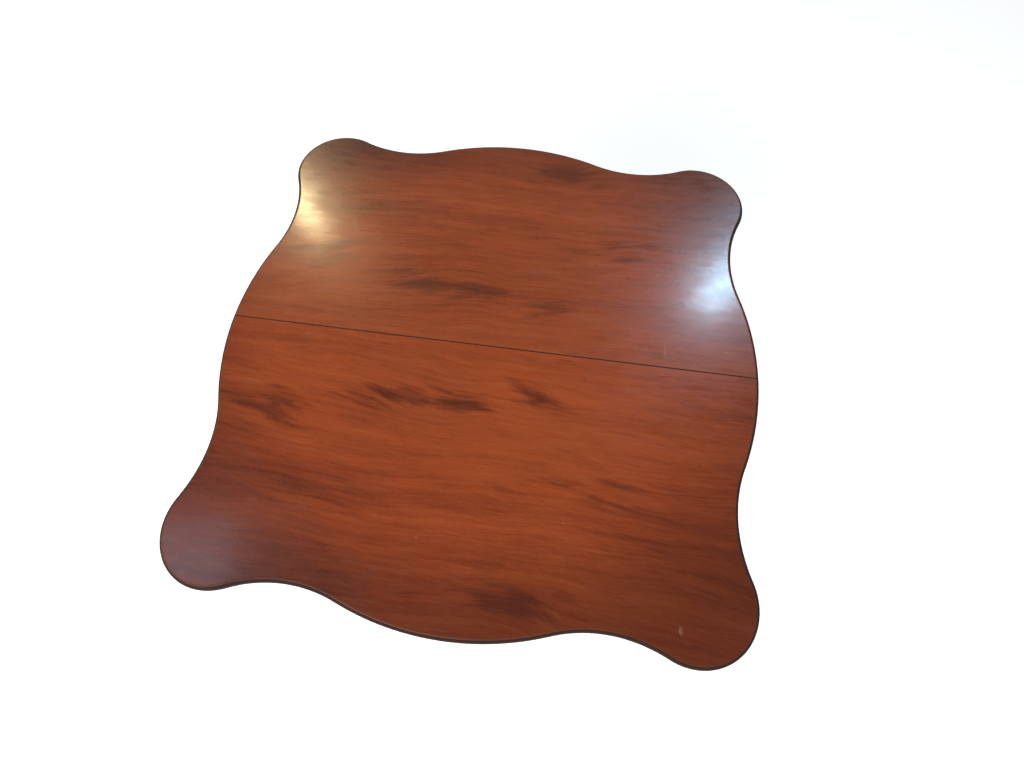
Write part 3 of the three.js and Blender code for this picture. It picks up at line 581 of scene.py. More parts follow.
def top_mahogany():
    """Figured mahogany under an old, slightly worn polish, dull and dusty underneath."""
    g = Graph("top_mahogany")
    place, folded, side, flat, grain, flaming = board_coordinates(g)
    cloud = g.noise(flat, (2.6, 6, 1), 2, 0.5, (3, 1, 0))
    broad = g.noise(grain, (1.4, 24, 3), 2, 0.5)
    fine = g.noise(grain, (4, 120, 3), 3, 0.6, (7, 0, 0))
    hair = g.noise(grain, (10, 300, 3), 3, 0.7)
    mottle = g.noise(flaming, (16, 60, 3), 3, 0.6, (0, 5, 0))
    fleck = g.noise(flaming, (110, 330, 3), 3, 0.75, (0, 9, 0))
    parts = [(cloud, 0.42), (broad, 0.36), (fine, 0.30), (hair, 0.36), (mottle, 0.26), (fleck, 0.55)]
    tone = g.total(0.57, *[g.centred(noise, amount) for noise, amount in parts])
    flame = flame_mask(g, flat, flaming)
    tone = g.math("SUBTRACT", tone, g.times(flame, 0.28))
    shadows = g.step(g.noise(flaming, (4, 38, 3), 3, 0.65, (0, 3, 0)), 0.50, 0.72)
    tone = g.math("SUBTRACT", tone, g.times(shadows, 0.06))
    wood = polished_wood(g, tone)
    pores = g.step(g.noise(grain, (300, 2400, 3), 1, 0.5, (0, 0, 4)), 0.60, 0.72)
    wood = g.mix(g.times(pores, 0.18), wood, linear(64, 24, 10))

    # The rear board is paler, partly in its own tone and partly by a painted sheen of the warm window's
    # reflection; a painted pool of light brightens the front board near the joint; and the top darkens
    # towards its rim, partly as painted shade and partly as darker old polish.
    wood = g.mix(g.times(g.step(side, -0.5, 0.5), 0.16), wood, linear(150, 88, 58))
    # painted light: a pool of brighter colour on the front board near the joint
    painted_light_pool = g.spot(place, (0.03, -0.09, TOP_HIGH.z), (0.36, 0.18, 1))
    painted_light_pool = g.times(painted_light_pool, g.math("SUBTRACT", 1.0, flame))
    wood = g.mix(g.times(painted_light_pool, 0.34), wood, linear(190, 92, 44))
    # painted shade, partly darker old polish: the colour darkens outside an ellipse round the middle of the
    # top
    middle = g.spot(place, (0.0, 0.02, TOP_HIGH.z), (0.60, 0.50, 1))
    wood = g.mix(g.times(g.step(middle, 0.46, 0.10), 0.62), wood, linear(52, 20, 12))

    # Dirt has filled the joint, and the rounded edge is painted near black as shade.
    joint = g.step(folded, 1.5 * MM, 0.5 * MM)
    wood = g.mix(g.times(joint, 0.85), wood, linear(34, 14, 9))
    facing = g.add("ShaderNodeTexCoord").outputs["Normal"]
    upward = g.add("ShaderNodeSeparateXYZ", {"Vector": facing}).outputs["Z"]
    edge = g.step(upward, 0.996, 0.95)
    # painted shade: the rounded edge is coloured near black
    wood = g.mix(g.times(edge, 0.90), wood, linear(26, 11, 8))
    scuff = scuff_mask(g, place)
    wood = g.mix(g.times(scuff, 0.36), wood, linear(196, 150, 128))

    # Underneath, the wood is unpolished and dusty.
    under = g.step(upward, -0.6, -0.98)
    parts = [(broad, 0.4), (fine, 0.5), (hair, 0.6), (cloud, 0.5)]
    raw = raw_wood(g, g.total(0.5, *[g.centred(noise, amount) for noise, amount in parts]))
    wood = g.mix(under, wood, raw)

    smudge = g.noise(place, (7, 9, 7), 3, 0.6, (2, 2, 2))
    worn = g.noise(place, (36, 80, 36), 2, 0.6, (4, 1, 3))
    rough = g.total(0.29, g.centred(smudge, 0.16), g.centred(worn, 0.20), g.centred(fine, 0.10))
    rough = g.total(rough, g.times(scuff, 0.3))
    rough = g.total(rough, g.times(under, 0.45), g.times(edge, 0.72))
    rough = g.total(rough, g.times(joint, 0.35))
    bare = g.chained("MAXIMUM", [edge, under, joint])
    coat = g.times(g.math("SUBTRACT", 1.0, bare), 0.30)
    height = g.total(g.centred(fine, 0.5), g.centred(g.noise(place, (300, 300, 300), 2), 1.4))
    g.shader.inputs["Coat Roughness"].default_value = 0.13
    return g.shade(Base_Color=wood, Roughness=rough, Coat_Weight=coat, Normal=g.bump(height, 0.06 * MM))


def floor_paint():
    g = Graph("pale_floor")
    tone = g.noise(g.place(), (3, 3, 3), 3)
    paint = g.mix(tone, linear(246, 246, 246), linear(250, 250, 250))
    near = g.spot(g.place(), (0, 0, 0), (6, 6, 6))
    # painted light: the floor glows, less near the table, standing in for light from the studio's far walls
    painted_floor_glow = g.math("SUBTRACT", 0.56, g.times(near, 0.13))  # light from the studio's far walls
    g.shader.inputs["Emission Color"].default_value = (1, 1, 1, 1)
    return g.shade(Base_Color=paint, Roughness=0.9, Emission_Strength=painted_floor_glow)


def base_mahogany(name, grain_axis, tone=0.5, polish=1.0):
    """Plainer mahogany with the grain along one axis of the piece; polish 0 is bare wood."""
    g = Graph(name)
    place = g.place()
    split = g.add("ShaderNodeSeparateXYZ", {"Vector": place})
    order = {"X": "XYZ", "Y": "YXZ", "Z": "ZXY"}[grain_axis]
    axes = dict(zip("XYZ", (split.outputs[axis] for axis in order)))
    straight = g.add("ShaderNodeCombineXYZ", axes).outputs["Vector"]
    sway = g.centred(g.noise(straight, (5, 9, 9), 2), 0.03)
    axes = {"X": axes["X"], "Y": g.total(axes["Y"], sway), "Z": g.total(axes["Z"], sway)}
    grain = g.add("ShaderNodeCombineXYZ", axes).outputs["Vector"]
    broad = g.noise(grain, (2.5, 45, 45), 3, 0.55)
    fine = g.noise(grain, (6, 190, 190), 3, 0.6)
    hair = g.noise(grain, (16, 720, 720), 3, 0.65)
    cloud = g.noise(place, (7, 7, 7), 2)
    parts = [(broad, 0.7), (fine, 0.5), (hair, 0.4), (cloud, 0.16)]
    level = g.total(tone, *[g.centred(noise, amount) for noise, amount in parts])
    tones = [(0.05, (44, 18, 9)), (0.4, (82, 34, 16)), (0.65, (114, 50, 23)), (0.95, (146, 76, 38))]
    wood = g.ramp(level, [(position, linear(*colour)) for position, colour in tones])
    pores = g.step(g.noise(grain, (130, 1300, 1300), 1), 0.62, 0.72)
    wood = g.mix(g.times(pores, 0.5), wood, linear(30, 12, 7))
    # Wax and dirt gather in the hollows, and the crests are rubbed paler.
    point = g.add("ShaderNodeNewGeometry").outputs["Pointiness"]
    wood = g.mix(g.times(g.step(point, 0.5, 0.44), 0.6), wood, linear(30, 14, 10))
    patchy = g.step(g.noise(place, (60, 60, 60), 3), 0.4, 0.65)
    worn = g.times(g.step(point, 0.515, 0.56), patchy)
    wood = g.mix(g.times(worn, 0.4), wood, linear(150, 82, 44))
    if polish < 1:
        dust = g.mix(g.step(hair, 0.35, 0.65), linear(72, 44, 27), linear(118, 78, 50))
        wood = g.mix(0.6 * (1 - polish), wood, dust)
    smudge = g.centred(g.noise(place, (16, 16, 16), 3), 0.2)
    rough = g.total(0.72 - 0.36 * polish, smudge, g.centred(fine, 0.1))
    g.shader.inputs["Coat Weight"].default_value = 0.25 * polish
    g.shader.inputs["Coat Roughness"].default_value = 0.2
    height = g.total(g.centred(fine, 1.0), g.times(pores, -0.8), g.noise(place, (200, 200, 200), 2))
    return g.shade(Base_Color=wood, Roughness=rough, Normal=g.bump(height, 0.08 * MM))


def old_metal(name, bright, dull, dirt, roughness, grain, pit=0.05):
    """Metal that is bright where it is rubbed, dull elsewhere and dirty in its pits and hollows."""
    g = Graph(name)
    place = g.place()
    patches = g.noise(place, (grain, grain, grain), 4, 0.6)
    scratch = g.noise(place, (grain * 3, grain * 30, grain * 6), 2, 0.6)
    tone = g.mix(g.step(patches, 0.4, 0.62), dull, bright)
    specks = g.step(g.noise(place, (grain * 9, grain * 9, grain * 9), 2), 0.6, 0.72)
    tone = g.mix(g.times(specks, 0.6), tone, dirt)
    point = g.add("ShaderNodeNewGeometry").outputs["Pointiness"]
    tone = g.mix(g.times(g.step(point, 0.5, 0.45), 0.7), tone, dirt)
    rough = g.total(roughness, g.centred(patches, 0.3), g.centred(scratch, 0.15), g.times(specks, 0.25))
    metallic = g.math("SUBTRACT", 1.0, g.times(specks, 0.5))
    height = g.total(g.centred(patches, 1.0), g.centred(scratch, 0.4), g.times(specks, -0.6))
    return g.shade(Base_Color=tone, Metallic=metallic, Roughness=rough, Normal=g.bump(height, pit * MM))


# ---------------------------------------------------------------- column and wedge
CLEARANCE = 0.3 * MM
CUT_PAST = 2 * MM  # how far a cutter reaches past the surface that it opens
FAR = 1.0  # beyond every piece
ROUND_SEGMENTS = 128
FOOT_RADIUS = 41 * MM
LEG_ROOT_HEIGHT = 118 * MM
DRUM_ABOVE_LEGS = 10 * MM
TENON_RADIUS = 17 * MM
FOOT_EASE = 1 * MM
WEDGE_EASE = 0.3 * MM
WEDGE_TIP_HALF = 0.6 * MM
COLUMN_LOW, COLUMN_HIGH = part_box("column")
COLUMN_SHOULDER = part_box("block")[0].z - CLEARANCE
LEG_ANGLES = {"front": -90, "rear_right": 30, "rear_left": 150}

TURNING_STEPS = 7
# The turning above the drum, as curves that meet at sharp edges: (radius in mm, share of the height).
TURNING = [
    [(45, 0), (45, 0.004)],
    [(45, 0.004), (48.6, 0.007), (50.6, 0.018), (48.6, 0.029), (45, 0.032)],
    [(45, 0.032), (45, 0.037)],
    [(38, 0.037), (33, 0.047), (31, 0.062), (33.5, 0.082), (43, 0.112), (50.5, 0.155), (53, 0.205),
     (49.5, 0.26), (40, 0.315), (30, 0.37), (24.8, 0.41), (24, 0.432)],
    [(29, 0.434), (29, 0.44)],
    [(29, 0.44), (34.6, 0.445), (37, 0.458), (34.6, 0.471), (29, 0.476)],
    [(29, 0.476), (29, 0.482)],
    [(26.5, 0.482), (26, 0.495), (27.5, 0.54), (29, 0.60), (28, 0.70), (25.6, 0.80), (24, 0.872)],
    [(27.5, 0.872), (27.5, 0.877)],
    [(27.5, 0.877), (31.4, 0.881), (33, 0.890), (31.4, 0.899), (27.5, 0.903)],
    [(27.5, 0.903), (27.5, 0.908)],
    [(25.5, 0.908), (26.5, 0.93), (31.5, 0.955), (41, 0.975), (44.5, 0.98)],
    [(48, 0.98), (48, 0.997), (47, 1)],
]


def column_profile():
    drum_top = COLUMN_LOW.z + LEG_ROOT_HEIGHT + DRUM_ABOVE_LEGS
    profile = [(0, COLUMN_LOW.z), (FOOT_RADIUS - FOOT_EASE, COLUMN_LOW.z)]
    profile += [(FOOT_RADIUS, COLUMN_LOW.z + FOOT_EASE), (FOOT_RADIUS, drum_top)]
    for curve in TURNING:
        points = smooth_line(curve, 1 if len(curve) == 2 else TURNING_STEPS)
        profile += [(r * MM, drum_top + share * (COLUMN_SHOULDER - drum_top)) for r, share in points]
    profile += [(TENON_RADIUS, COLUMN_SHOULDER), (TENON_RADIUS, COLUMN_HIGH.z), (0, COLUMN_HIGH.z)]
    return profile


TONGUE_LENGTH = 17 * MM
TONGUE_NECK = 13 * MM
TONGUE_END = 20 * MM
TONGUE_BELOW_LEG_TOP = 8 * MM


def tongue(outer, grow=0.0):
    """The dovetail tongue of a leg along +X, or with grow the socket for it."""
    end, neck = TONGUE_END / 2 + grow, TONGUE_NECK / 2 + grow
    inner = FOOT_RADIUS - TONGUE_LENGTH - grow
    outline = [(inner, -end), (FOOT_RADIUS, -neck), (outer, -neck)]
    outline += [(outer, neck), (FOOT_RADIUS, neck), (inner, end)]
    low = COLUMN_LOW.z - (CUT_PAST if grow else 0)
    high = COLUMN_LOW.z + LEG_ROOT_HEIGHT - TONGUE_BELOW_LEG_TOP + grow
    return prism("tongue", outline, "z", low, high)


def about_z(degrees):
    return Matrix.Rotation(math.radians(degrees), 4, "Z")


def wedge_mesh(grow=0.0):
    low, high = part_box("tenon_wedge")
    tip = WEDGE_TIP_HALF + grow
    top = (high.y - low.y) / 2 + grow
    reach = high.x + (CUT_PAST if grow else 0)
    ease = 0 if grow else WEDGE_EASE
    outline = [(-tip, low.z - grow), (tip, low.z - grow), (top, high.z + grow), (-top, high.z + grow)]
    return prism("tenon_wedge", outline, "x", -reach, reach, ease)


def make_column(wood):
    sockets = [moved(tongue(FOOT_RADIUS + CUT_PAST, CLEARANCE), about_z(a)) for a in LEG_ANGLES.values()]
    column = cut(lathe("column", column_profile(), ROUND_SEGMENTS), *sockets, wedge_mesh(CLEARANCE))
    finish_piece(make_object("turned_column", column), "base", "base_mahogany", wood["Z"], "column")
    wedge = make_object("wedge", wedge_mesh())
    finish_piece(wedge, "base", "base_mahogany", wood["Z"], "tenon_wedge")


# ---------------------------------------------------------------- legs
LEG_REACH = 313 * MM
TOE_HEIGHT = 9.5 * MM
LEG_RINGS_PER_STATION = 6
LEG_RING_POINTS = 48
TONGUE_INTO_LEG = 9 * MM
# The toe's rounded end, beyond the last station: (share of its size, distance forward in mm).
TOE_END = ((0.9, 0.5), (0.7, 1.1), (0.4, 1.6), (0.1, 1.8))
# (out, rise, half height, half width, squareness): out is the share of the way from the drum to the toe
# and rise the share of the way up from the toe to the root; the half sizes are in mm.
LEG_STATIONS = [
    (-0.06, 1.0, 59, 23, 4),
    (0.07, 1.01, 59, 23, 4),
    (0.2, 0.955, 48, 22, 3.4),
    (0.33, 0.785, 36, 19, 2.8),
    (0.445, 0.585, 27, 16, 2.4),
    (0.555, 0.395, 20.5, 14, 2.2),
    (0.66, 0.24, 16.5, 13.5, 2),
    (0.755, 0.12, 15, 15, 2),
    (0.84, 0.05, 15, 20, 2),
    (0.915, 0.016, 14.5, 24, 2),
    (0.975, 0.004, 11.5, 18, 2),
    (1, 0, 6, 8, 2),
]


def leg_rings():
    """Rings of points round a cabriole leg along +X, from inside the drum to the toe."""
    root = COLUMN_LOW.z + LEG_ROOT_HEIGHT / 2
    line = smooth_line(LEG_STATIONS, LEG_RINGS_PER_STATION)
    x = FOOT_RADIUS + line[:, 0] * (LEG_REACH - FOOT_RADIUS)
    z = TOE_HEIGHT + line[:, 1] * (root - TOE_HEIGHT)
    slope = np.column_stack([np.gradient(x), np.gradient(z)])
    slope /= np.linalg.norm(slope, axis=1)[:, None]
    turns = 2 * math.pi * np.arange(LEG_RING_POINTS) / LEG_RING_POINTS
    rings = []
    for i, (half_height, half_width, squareness) in enumerate(line[:, 2:]):
        up = half_height * MM * np.sign(np.cos(turns)) * np.abs(np.cos(turns)) ** (2 / squareness)
        across = half_width * MM * np.sign(np.sin(turns)) * np.abs(np.sin(turns)) ** (2 / squareness)
        rings.append(np.column_stack([x[i] - slope[i, 1] * up, across, z[i] + slope[i, 0] * up]))
    tip = rings[-1]
    middle = tip.mean(axis=0)
    for share, forward in TOE_END:
        rings.append(middle + share * (tip - middle) + (forward * MM, 0, 0))
    return rings


def loft(name, rings):
    bm = bmesh.new()
    skins = [[bm.verts.new(point) for point in ring] for ring in rings]
    for near, far in zip(skins, skins[1:]):
        for i in range(len(near)):
            j = (i + 1) % len(near)
            bm.faces.new((near[i], near[j], far[j], far[i]))
    for ring in (skins[0], skins[-1]):
        bm.faces.new(ring)
    return mesh_of(bm, name, 40)


def leg_mesh():
    """The leg, cut off level with the floor and against the drum, with its tongue."""
    drum = cylinder(FOOT_RADIUS + CLEARANCE, -FAR, FAR, ROUND_SEGMENTS)
    floor = slab("floor", (-FAR, -FAR, -FAR), (FAR, FAR, 0))
    leg = cut(loft("leg", leg_rings()), drum, floor)
    return combined("UNION", leg, tongue(FOOT_RADIUS + TONGUE_INTO_LEG), sharp_degrees=40)


def make_legs(wood):
    mesh = leg_mesh()
    for name, angle in LEG_ANGLES.items():
        leg = make_object(f"cabriole_leg_{name}", mesh, about_z(angle))
        finish_piece(leg, "base", "base_mahogany", wood["X"], f"leg_{name}")


# ---------------------------------------------------------------- screws
SCREW_RIM = 0.5 * MM
SCREW_SOFTNESS = 0.25 * MM  # how far the head's sharp edge is worn away
SCREW_POINT = 0.15  # the point's radius, as a share of the shank's
SCREW_SLOT = (0.1, 0.22)  # half width and depth, as shares of the head's radius
FIRST_SCREW_TURN = 23  # degrees that the slots are turned by, so that no two lie alike
NEXT_SCREW_TURN = 67


def centre_of(node):
    low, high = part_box(node)
    return (low + high) / 2


def screw_profile(head, length, grow=0.0):
    """(radius, height) of a countersunk screw that points up from its flat head at height 0."""
    shank = head / 2
    soft = 0 if grow else SCREW_SOFTNESS
    return [
        (0, -grow),
        (head - soft + grow, -grow),
        (head + grow, soft - grow),
        (head + grow, SCREW_RIM + grow),
        (shank + grow, SCREW_RIM + head - shank + grow),
        (shank + grow, length - 2 * shank + grow),
        (SCREW_POINT * shank + grow, length + grow),
        (0, length + grow),
    ]


def screw_mesh(name, head, length):
    half_width, depth = [share * head for share in SCREW_SLOT]
    slot = slab("slot", (-2 * head, -half_width, -CUT_PAST), (2 * head, half_width, depth))
    return cut(lathe(name, screw_profile(head, length), 40), slot)


def make_screws(nodes, body, slot, material, points_down=False):
    """Slotted screws in place of these nodes, each turned to an angle of its own."""
    low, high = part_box(nodes[0])
    mesh = screw_mesh(f"{nodes[0]}_mesh", (high.x - low.x) / 2, high.z - low.z)
    for i, node in enumerate(nodes):
        low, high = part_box(node)
        place = Matrix.Translation((centre_of(node).x, centre_of(node).y, high.z if points_down else low.z))
        if points_down:
            place = place @ Matrix.Rotation(math.pi, 4, "X")
        piece = make_object(f"{node}_slotted", mesh, place @ about_z(FIRST_SCREW_TURN + NEXT_SCREW_TURN * i))
        finish_piece(piece, body, slot, material, node)


def screw_hole(node, points_down=False):
    low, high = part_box(node)
    head = (high.x - low.x) / 2
    hole = lathe("hole", screw_profile(head, high.z - low.z, CLEARANCE), 40)
    if points_down:
        hole.transform(Matrix.Rotation(math.pi, 4, "X"))
    return moved(hole, (centre_of(node).x, centre_of(node).y, high.z if points_down else low.z))


def nodes_named(start):
    return [name for name in frame["nodes"] if name.startswith(start)]


# ---------------------------------------------------------------- block, strike and pivots
BLOCK_EASE = 1.2 * MM
BRASS_EASE = 0.35 * MM
STRIKE_THICKNESS = 2 * MM
PIVOT_SHANK_SHARE = 0.6  # of the head's radius
PIVOT_HEAD_THICKNESS = 4 * MM
PIVOT_TIP = (1 * MM, 2 * MM)  # how far the tip is drawn in, and over what length
PIVOT_TURN = 35  # degrees that its slot is turned by
PIVOT_SLOT_HALF = 0.8 * MM
PIVOT_SLOT_DEPTH = 1.9 * MM
BOLT_ROOM = 0.6 * MM  # round the bolt, in the strike and the block
SOCKET_DEPTH = 15 * MM
SOCKET_BEFORE = 5 * MM  # how far its cutter stands out before the block
PIVOT = frame["joints"][0]["pos_m"]


def bolt_socket():
    """The hole that the bolt shoots into, through the strike and into the block."""
    low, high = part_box("catch_bolt")
    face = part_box("block")[0].y
    room = Vector((BOLT_ROOM, 0, BOLT_ROOM))
    near = Vector((low.x, face - SOCKET_BEFORE, low.z)) - room
    far = Vector((high.x, face + SOCKET_DEPTH, high.z)) + room
    return slab("socket", near, far)


def strike_mesh(grow=0.0):
    low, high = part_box("strike_plate")
    thick = STRIKE_THICKNESS + 2 * grow
    front, back, top, bottom = low.y - grow, high.y + grow, high.z + grow, low.z - grow
    outline = [(front, bottom), (front + thick, bottom), (front + thick, top - thick)]
    outline += [(back, top - thick), (back, top), (front, top)]
    return prism("strike", outline, "x", low.x - grow, high.x + grow, 0 if grow else BRASS_EASE)


def along_x(mesh, place):
    mesh.transform(Matrix.Rotation(math.pi / 2, 4, "Y"))
    return moved(mesh, place)


def pivot_radius():
    low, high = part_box("pivot_screw_left")
    return PIVOT_SHANK_SHARE * (high.z - low.z) / 2


def pivot_hole(low, high):
    return along_x(cylinder(pivot_radius() + CLEARANCE, low, high), Vector((0, PIVOT[1], PIVOT[2])))


def make_block(wood, brass, steel):
    low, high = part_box("block")
    corner = high.y - PIVOT[1]
    turn = np.linspace(0, math.pi / 2, 14)
    arc = [(PIVOT[1] + corner * math.cos(a), PIVOT[2] + corner * math.sin(a)) for a in turn]
    outline = [(low.y, low.z), (high.y, low.z), *arc, (low.y, high.z)]
    body = prism("block", outline, "x", low.x, high.x, BLOCK_EASE)
    strike_screws = nodes_named("strike_screw")
    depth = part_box("pivot_screw_right")[0].x
    holes = [pivot_hole(-FAR, -depth + CLEARANCE), pivot_hole(depth - CLEARANCE, FAR)]
    tenon = cylinder(TENON_RADIUS + CLEARANCE, 0, FAR, 64)
    holes += [screw_hole(node, points_down=True) for node in strike_screws]
    body = cut(body, tenon, *holes, bolt_socket(), strike_mesh(CLEARANCE))
    finish_piece(make_object("tilt_block", body), "base", "base_mahogany", wood["X"], "block")
    holes = [screw_hole(node, points_down=True) for node in strike_screws]
    strike = cut(strike_mesh(), bolt_socket(), *holes)
    finish_piece(make_object("strike", strike), "base", "brass", brass, "strike_plate")
    make_screws(strike_screws, "base", "brass", brass, points_down=True)
    for side, turn in (("left", -1), ("right", 1)):
        make_pivot(side, turn, steel)


def make_pivot(side, sign, steel):
    """A pivot screw: a plain shank and a domed, slotted head outside the batten."""
    low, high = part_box(f"pivot_screw_{side}")
    head = (high.z - low.z) / 2
    shank = pivot_radius()
    length = high.x - low.x
    neck = length - PIVOT_HEAD_THICKNESS
    dome = [(1, 0), (1, 0.35), (0.9, 0.7), (0.6, 0.925), (0, 1)]  # shares of the head's radius and thickness
    dome = [(r * head, neck + share * PIVOT_HEAD_THICKNESS) for r, share in dome]
    inset, taper = PIVOT_TIP
    profile = [(0, 0), (shank - inset, 0), (shank, taper), (shank, neck), *smooth_line(dome, 4)]
    slot_low = (-2 * head, -PIVOT_SLOT_HALF, length - PIVOT_SLOT_DEPTH)
    slot_high = (2 * head, PIVOT_SLOT_HALF, length + CUT_PAST)
    mesh = cut(lathe("pivot", profile, 48), slab("slot", slot_low, slot_high))
    start = low.x if sign > 0 else high.x
    place = Matrix.Translation((start, PIVOT[1], PIVOT[2])) @ Matrix.Rotation(sign * math.pi / 2, 4, "Y")
    pivot = make_object(f"pivot_{side}", mesh, place @ about_z(PIVOT_TURN * sign))
    finish_piece(pivot, "base", "steel", steel, f"pivot_screw_{side}")


# ---------------------------------------------------------------- battens
BATTEN_END_HEIGHT = 14 * MM
BATTEN_TAPER = 70 * MM
BATTEN_EASE = 1.5 * MM


def make_battens(wood, steel):
    for side in ("left", "right"):
        low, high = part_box(f"batten_{side}")
        near, far = low.y + BATTEN_TAPER, high.y - BATTEN_TAPER
        tip = high.z - BATTEN_END_HEIGHT
        outline = [(low.y, high.z), (low.y, tip), (near, low.z)]
        outline += [(far, low.z), (high.y, tip), (high.y, high.z)]
        bar = prism("batten", outline, "x", low.x, high.x, BATTEN_EASE)
        screws = nodes_named(f"batten_screw_{side}")
        holes = [pivot_hole(low.x - CUT_PAST, high.x + CUT_PAST)]
        for node in screws:
            screw_low, screw_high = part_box(node)
            radius = (screw_high.x - screw_low.x) / 2 + CLEARANCE
            bore = cylinder(radius, low.z - CUT_PAST, screw_low.z, 32)
            holes += [moved(bore, (centre_of(node).x, centre_of(node).y, 0)), screw_hole(node)]
        batten = make_object(f"{side}_batten", cut(bar, *holes))
        finish_piece(batten, "top", "base_mahogany", wood["batten"], f"batten_{side}")
    make_screws(nodes_named("batten_screw"), "top", "steel", steel)


# ---------------------------------------------------------------- catch
CASE_WALL = 1.5 * MM
STEM_RADIUS = 2 * MM
PLATE_EASE = 0.6 * MM
BOLT_EASE = 0.4 * MM
BOLT_CHAMFER = 2 * MM
BOLT_TRAVEL = frame["joints"][1]["range_m"][1]
LEAF_THICKNESS = 0.6 * MM
LEAF_EASE = 0.1 * MM
# The knob's head and the collar above it: (share of the knob's radius, share of its height up to the case).
KNOB_HEAD = [(0, 0), (0.35, 0.01), (0.75, 0.09), (1, 0.28), (1, 0.42)]
KNOB_HEAD += [(0.72, 0.6), (0.46, 0.76), (0.42, 0.84)]
KNOB_COLLAR = (0.56, 0.88)


def case_outline():
    """The case's top-hat section in (x, z)."""
    low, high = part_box("catch_case")
    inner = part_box("catch_bolt")[1].x + CLEARANCE
    outer = inner + CASE_WALL
    under = high.z - CASE_WALL
    half = [(inner, high.z), (high.x, high.z), (high.x, under), (outer, under), (outer, low.z)]
    floor = low.z + CASE_WALL
    return [*half, *[(-x, z) for x, z in half[::-1]], (-inner, floor), (inner, floor)]


def knob_mesh():
    low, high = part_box("catch_knob")
    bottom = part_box("catch_case")[0].z
    head = high.x
    drop = bottom - low.z
    profile = [(min(r, 1) * head, low.z + share * drop) for r, share in smooth_line(KNOB_HEAD, 5)]
    collar = KNOB_COLLAR[0] * head
    profile += [(collar, low.z + KNOB_COLLAR[1] * drop), (collar, bottom - CLEARANCE)]
    profile += [(STEM_RADIUS, bottom - CLEARANCE), (STEM_RADIUS, high.z), (0, high.z)]
    return lathe("knob", profile, 48, 30)


def bolt_mesh():
    low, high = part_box("catch_bolt")
    outline = [(low.y, low.z), (high.y - BOLT_CHAMFER, low.z), (high.y, low.z + BOLT_CHAMFER)]
    outline += [(high.y, high.z), (low.y, high.z)]
    bar = prism("bolt", outline, "x", low.x, high.x, BOLT_EASE)
    spring_low, spring_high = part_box("catch_leaf_spring")
    gap = Vector((CLEARANCE,) * 3)
    pocket = slab("pocket", spring_low - gap, spring_high + gap + Vector((2 * CUT_PAST, 0, 0)))
    stem_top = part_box("catch_knob")[1].z + CLEARANCE
    stem = cylinder(STEM_RADIUS + CLEARANCE, low.z - CUT_PAST / 2, stem_top)
    return cut(bar, pocket, moved(stem, (0, centre_of("catch_knob").y, 0)))


def spring_mesh():
    """A bowed leaf: its ends bear in the bolt's pocket and its crown on the case."""
    low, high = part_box("catch_leaf_spring")
    crown = high.x - LEAF_THICKNESS
    middle, half = (low.y + high.y) / 2, (high.y - low.y) / 2
    inside = [(crown - (crown - low.x) * s * s, middle + s * half) for s in np.linspace(-1, 1, 25)]
    outside = [(x + LEAF_THICKNESS, y) for x, y in inside[::-1]]
    return prism("spring", inside + outside, "z", low.z, high.z, LEAF_EASE)


def make_catch(brass, steel):
    plate_low, plate_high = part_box("catch_plate")
    case_low, case_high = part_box("catch_case")
    screws = nodes_named("catch_screw")
    plate = slab("plate", plate_low, plate_high, PLATE_EASE)
    plate = cut(plate, *[screw_hole(node) for node in screws])
    finish_piece(make_object("back_plate", plate), "top", "brass", brass, "catch_plate")
    knob = centre_of("catch_knob")
    half = STEM_RADIUS + CLEARANCE
    slot_low = (-half, knob.y - half, case_low.z - CUT_PAST)
    slot = slab("slot", slot_low, (half, knob.y + BOLT_TRAVEL + half, case_low.z + CUT_PAST))
    case = prism("case", case_outline(), "y", case_low.y, case_high.y, BRASS_EASE)
    case = cut(case, slot, *[screw_hole(node) for node in screws])
    finish_piece(make_object("bolt_case", case), "top", "brass", brass, "catch_case")
    make_screws(screws, "top", "brass", brass)
    finish_piece(make_object("bolt", bolt_mesh()), "catch_bolt", "brass", brass, "catch_bolt")
    finger_knob = make_object("finger_knob", knob_mesh(), Matrix.Translation((knob.x, knob.y, 0)))
    finish_piece(finger_knob, "catch_bolt", "brass", brass, "catch_knob")
    spring = make_object("leaf_spring", spring_mesh())
    finish_piece(spring, "catch_bolt", "steel", steel, "catch_leaf_spring")


# ---------------------------------------------------------------- iron plate under the column
SPIDER_HUB_INSET = 7 * MM
SPIDER_ARM_WIDTH = 22 * MM
SPIDER_OVERHANG = 21 * MM
SPIDER_CORNER = 4 * MM
SPIDER_EASE = 0.7 * MM


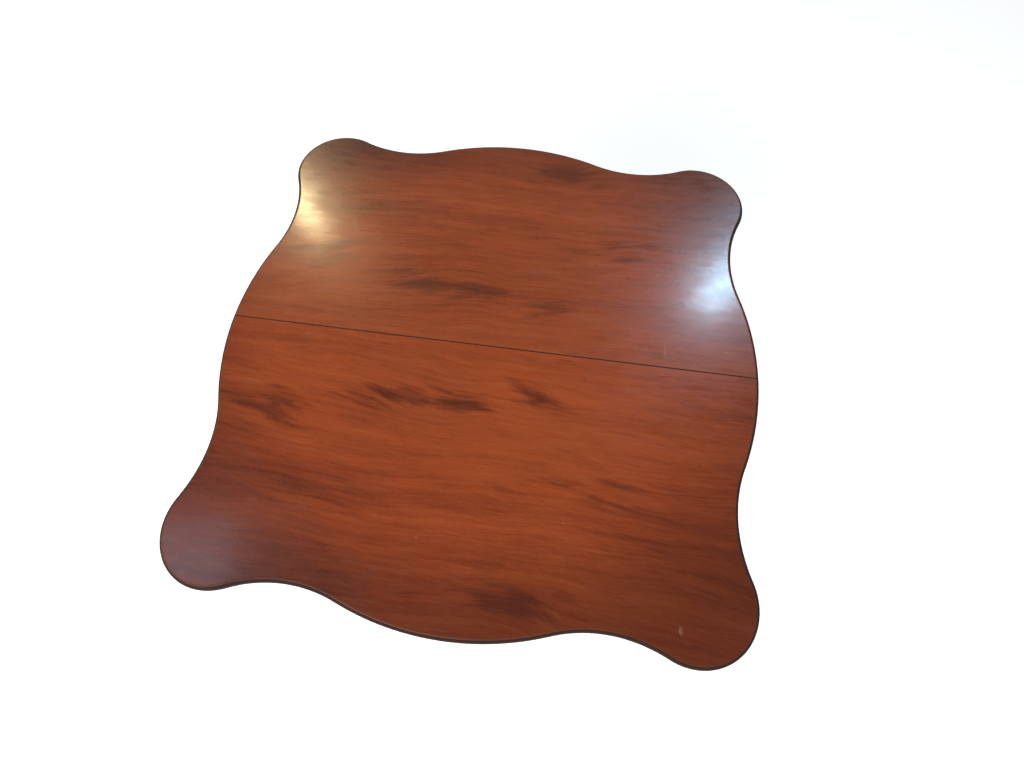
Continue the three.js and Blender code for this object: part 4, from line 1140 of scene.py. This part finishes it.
def spider_outline():
    """The hub's round side, broken by an arm for each leg; the arms' corners are rounded off."""
    hub = FOOT_RADIUS - SPIDER_HUB_INSET
    half = SPIDER_ARM_WIDTH / 2
    reach = FOOT_RADIUS + SPIDER_OVERHANG
    inner = half - SPIDER_CORNER
    lean = math.asin(half / hub)
    gap = 2 * math.pi / len(LEG_ANGLES)
    turn = np.linspace(0, math.pi / 2, 7)
    corner = [(SPIDER_CORNER * math.cos(a), SPIDER_CORNER * math.sin(a)) for a in turn]
    upper = [(reach - SPIDER_CORNER + x, inner + y) for x, y in corner]
    tip = [(x, -y) for x, y in upper[::-1]] + upper
    side = [(hub * math.cos(a), hub * math.sin(a)) for a in np.linspace(lean, gap - lean, 17)]
    points = []
    for angle in LEG_ANGLES.values():
        cos, sin = math.cos(math.radians(angle)), math.sin(math.radians(angle))
        points += [(x * cos - y * sin, x * sin + y * cos) for x, y in [*tip, *side]]
    return points


def make_spider(iron):
    low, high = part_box("spider_plate")
    screws = nodes_named("spider_arm_screw") + nodes_named("spider_hub_screw")
    plate = prism("spider", spider_outline(), "z", low.z, high.z, SPIDER_EASE)
    plate = cut(plate, *[screw_hole(node) for node in screws])
    finish_piece(make_object("iron_spider", plate), "base", "black_iron", iron, "spider_plate")
    make_screws(screws, "base", "black_iron", iron)


# ---------------------------------------------------------------- making it all
def make_boards():
    material = top_mahogany()
    for name, side in (("front", -1), ("rear", 1)):
        node = f"top_board_{name}"
        board = make_object(f"{name}_board", board_mesh(node, side))
        finish_piece(board, "top", "top_mahogany", material, node)


bpy.context.scene.view_settings.view_transform = "Standard"
add_camera()
add_lights()
add_backdrop()
add_floor(floor_paint())
make_boards()
woods = {axis: base_mahogany(f"base_mahogany_{axis.lower()}", axis) for axis in "XZ"}
woods["batten"] = base_mahogany("batten_mahogany", "Y", 0.45, 0.35)
brass = old_metal("brass", linear(180, 143, 84), linear(120, 90, 51), linear(52, 38, 22), 0.34, 90)
iron = old_metal("black_iron", linear(74, 70, 66), linear(46, 42, 39), linear(66, 36, 22), 0.58, 70, 0.25)
steel = old_metal("steel", linear(150, 146, 140), linear(98, 92, 86), linear(58, 42, 32), 0.42, 120)
make_column(woods)
make_legs(woods)
make_block(woods, brass, steel)
make_battens(woods, steel)
make_catch(brass, steel)
make_spider(iron)
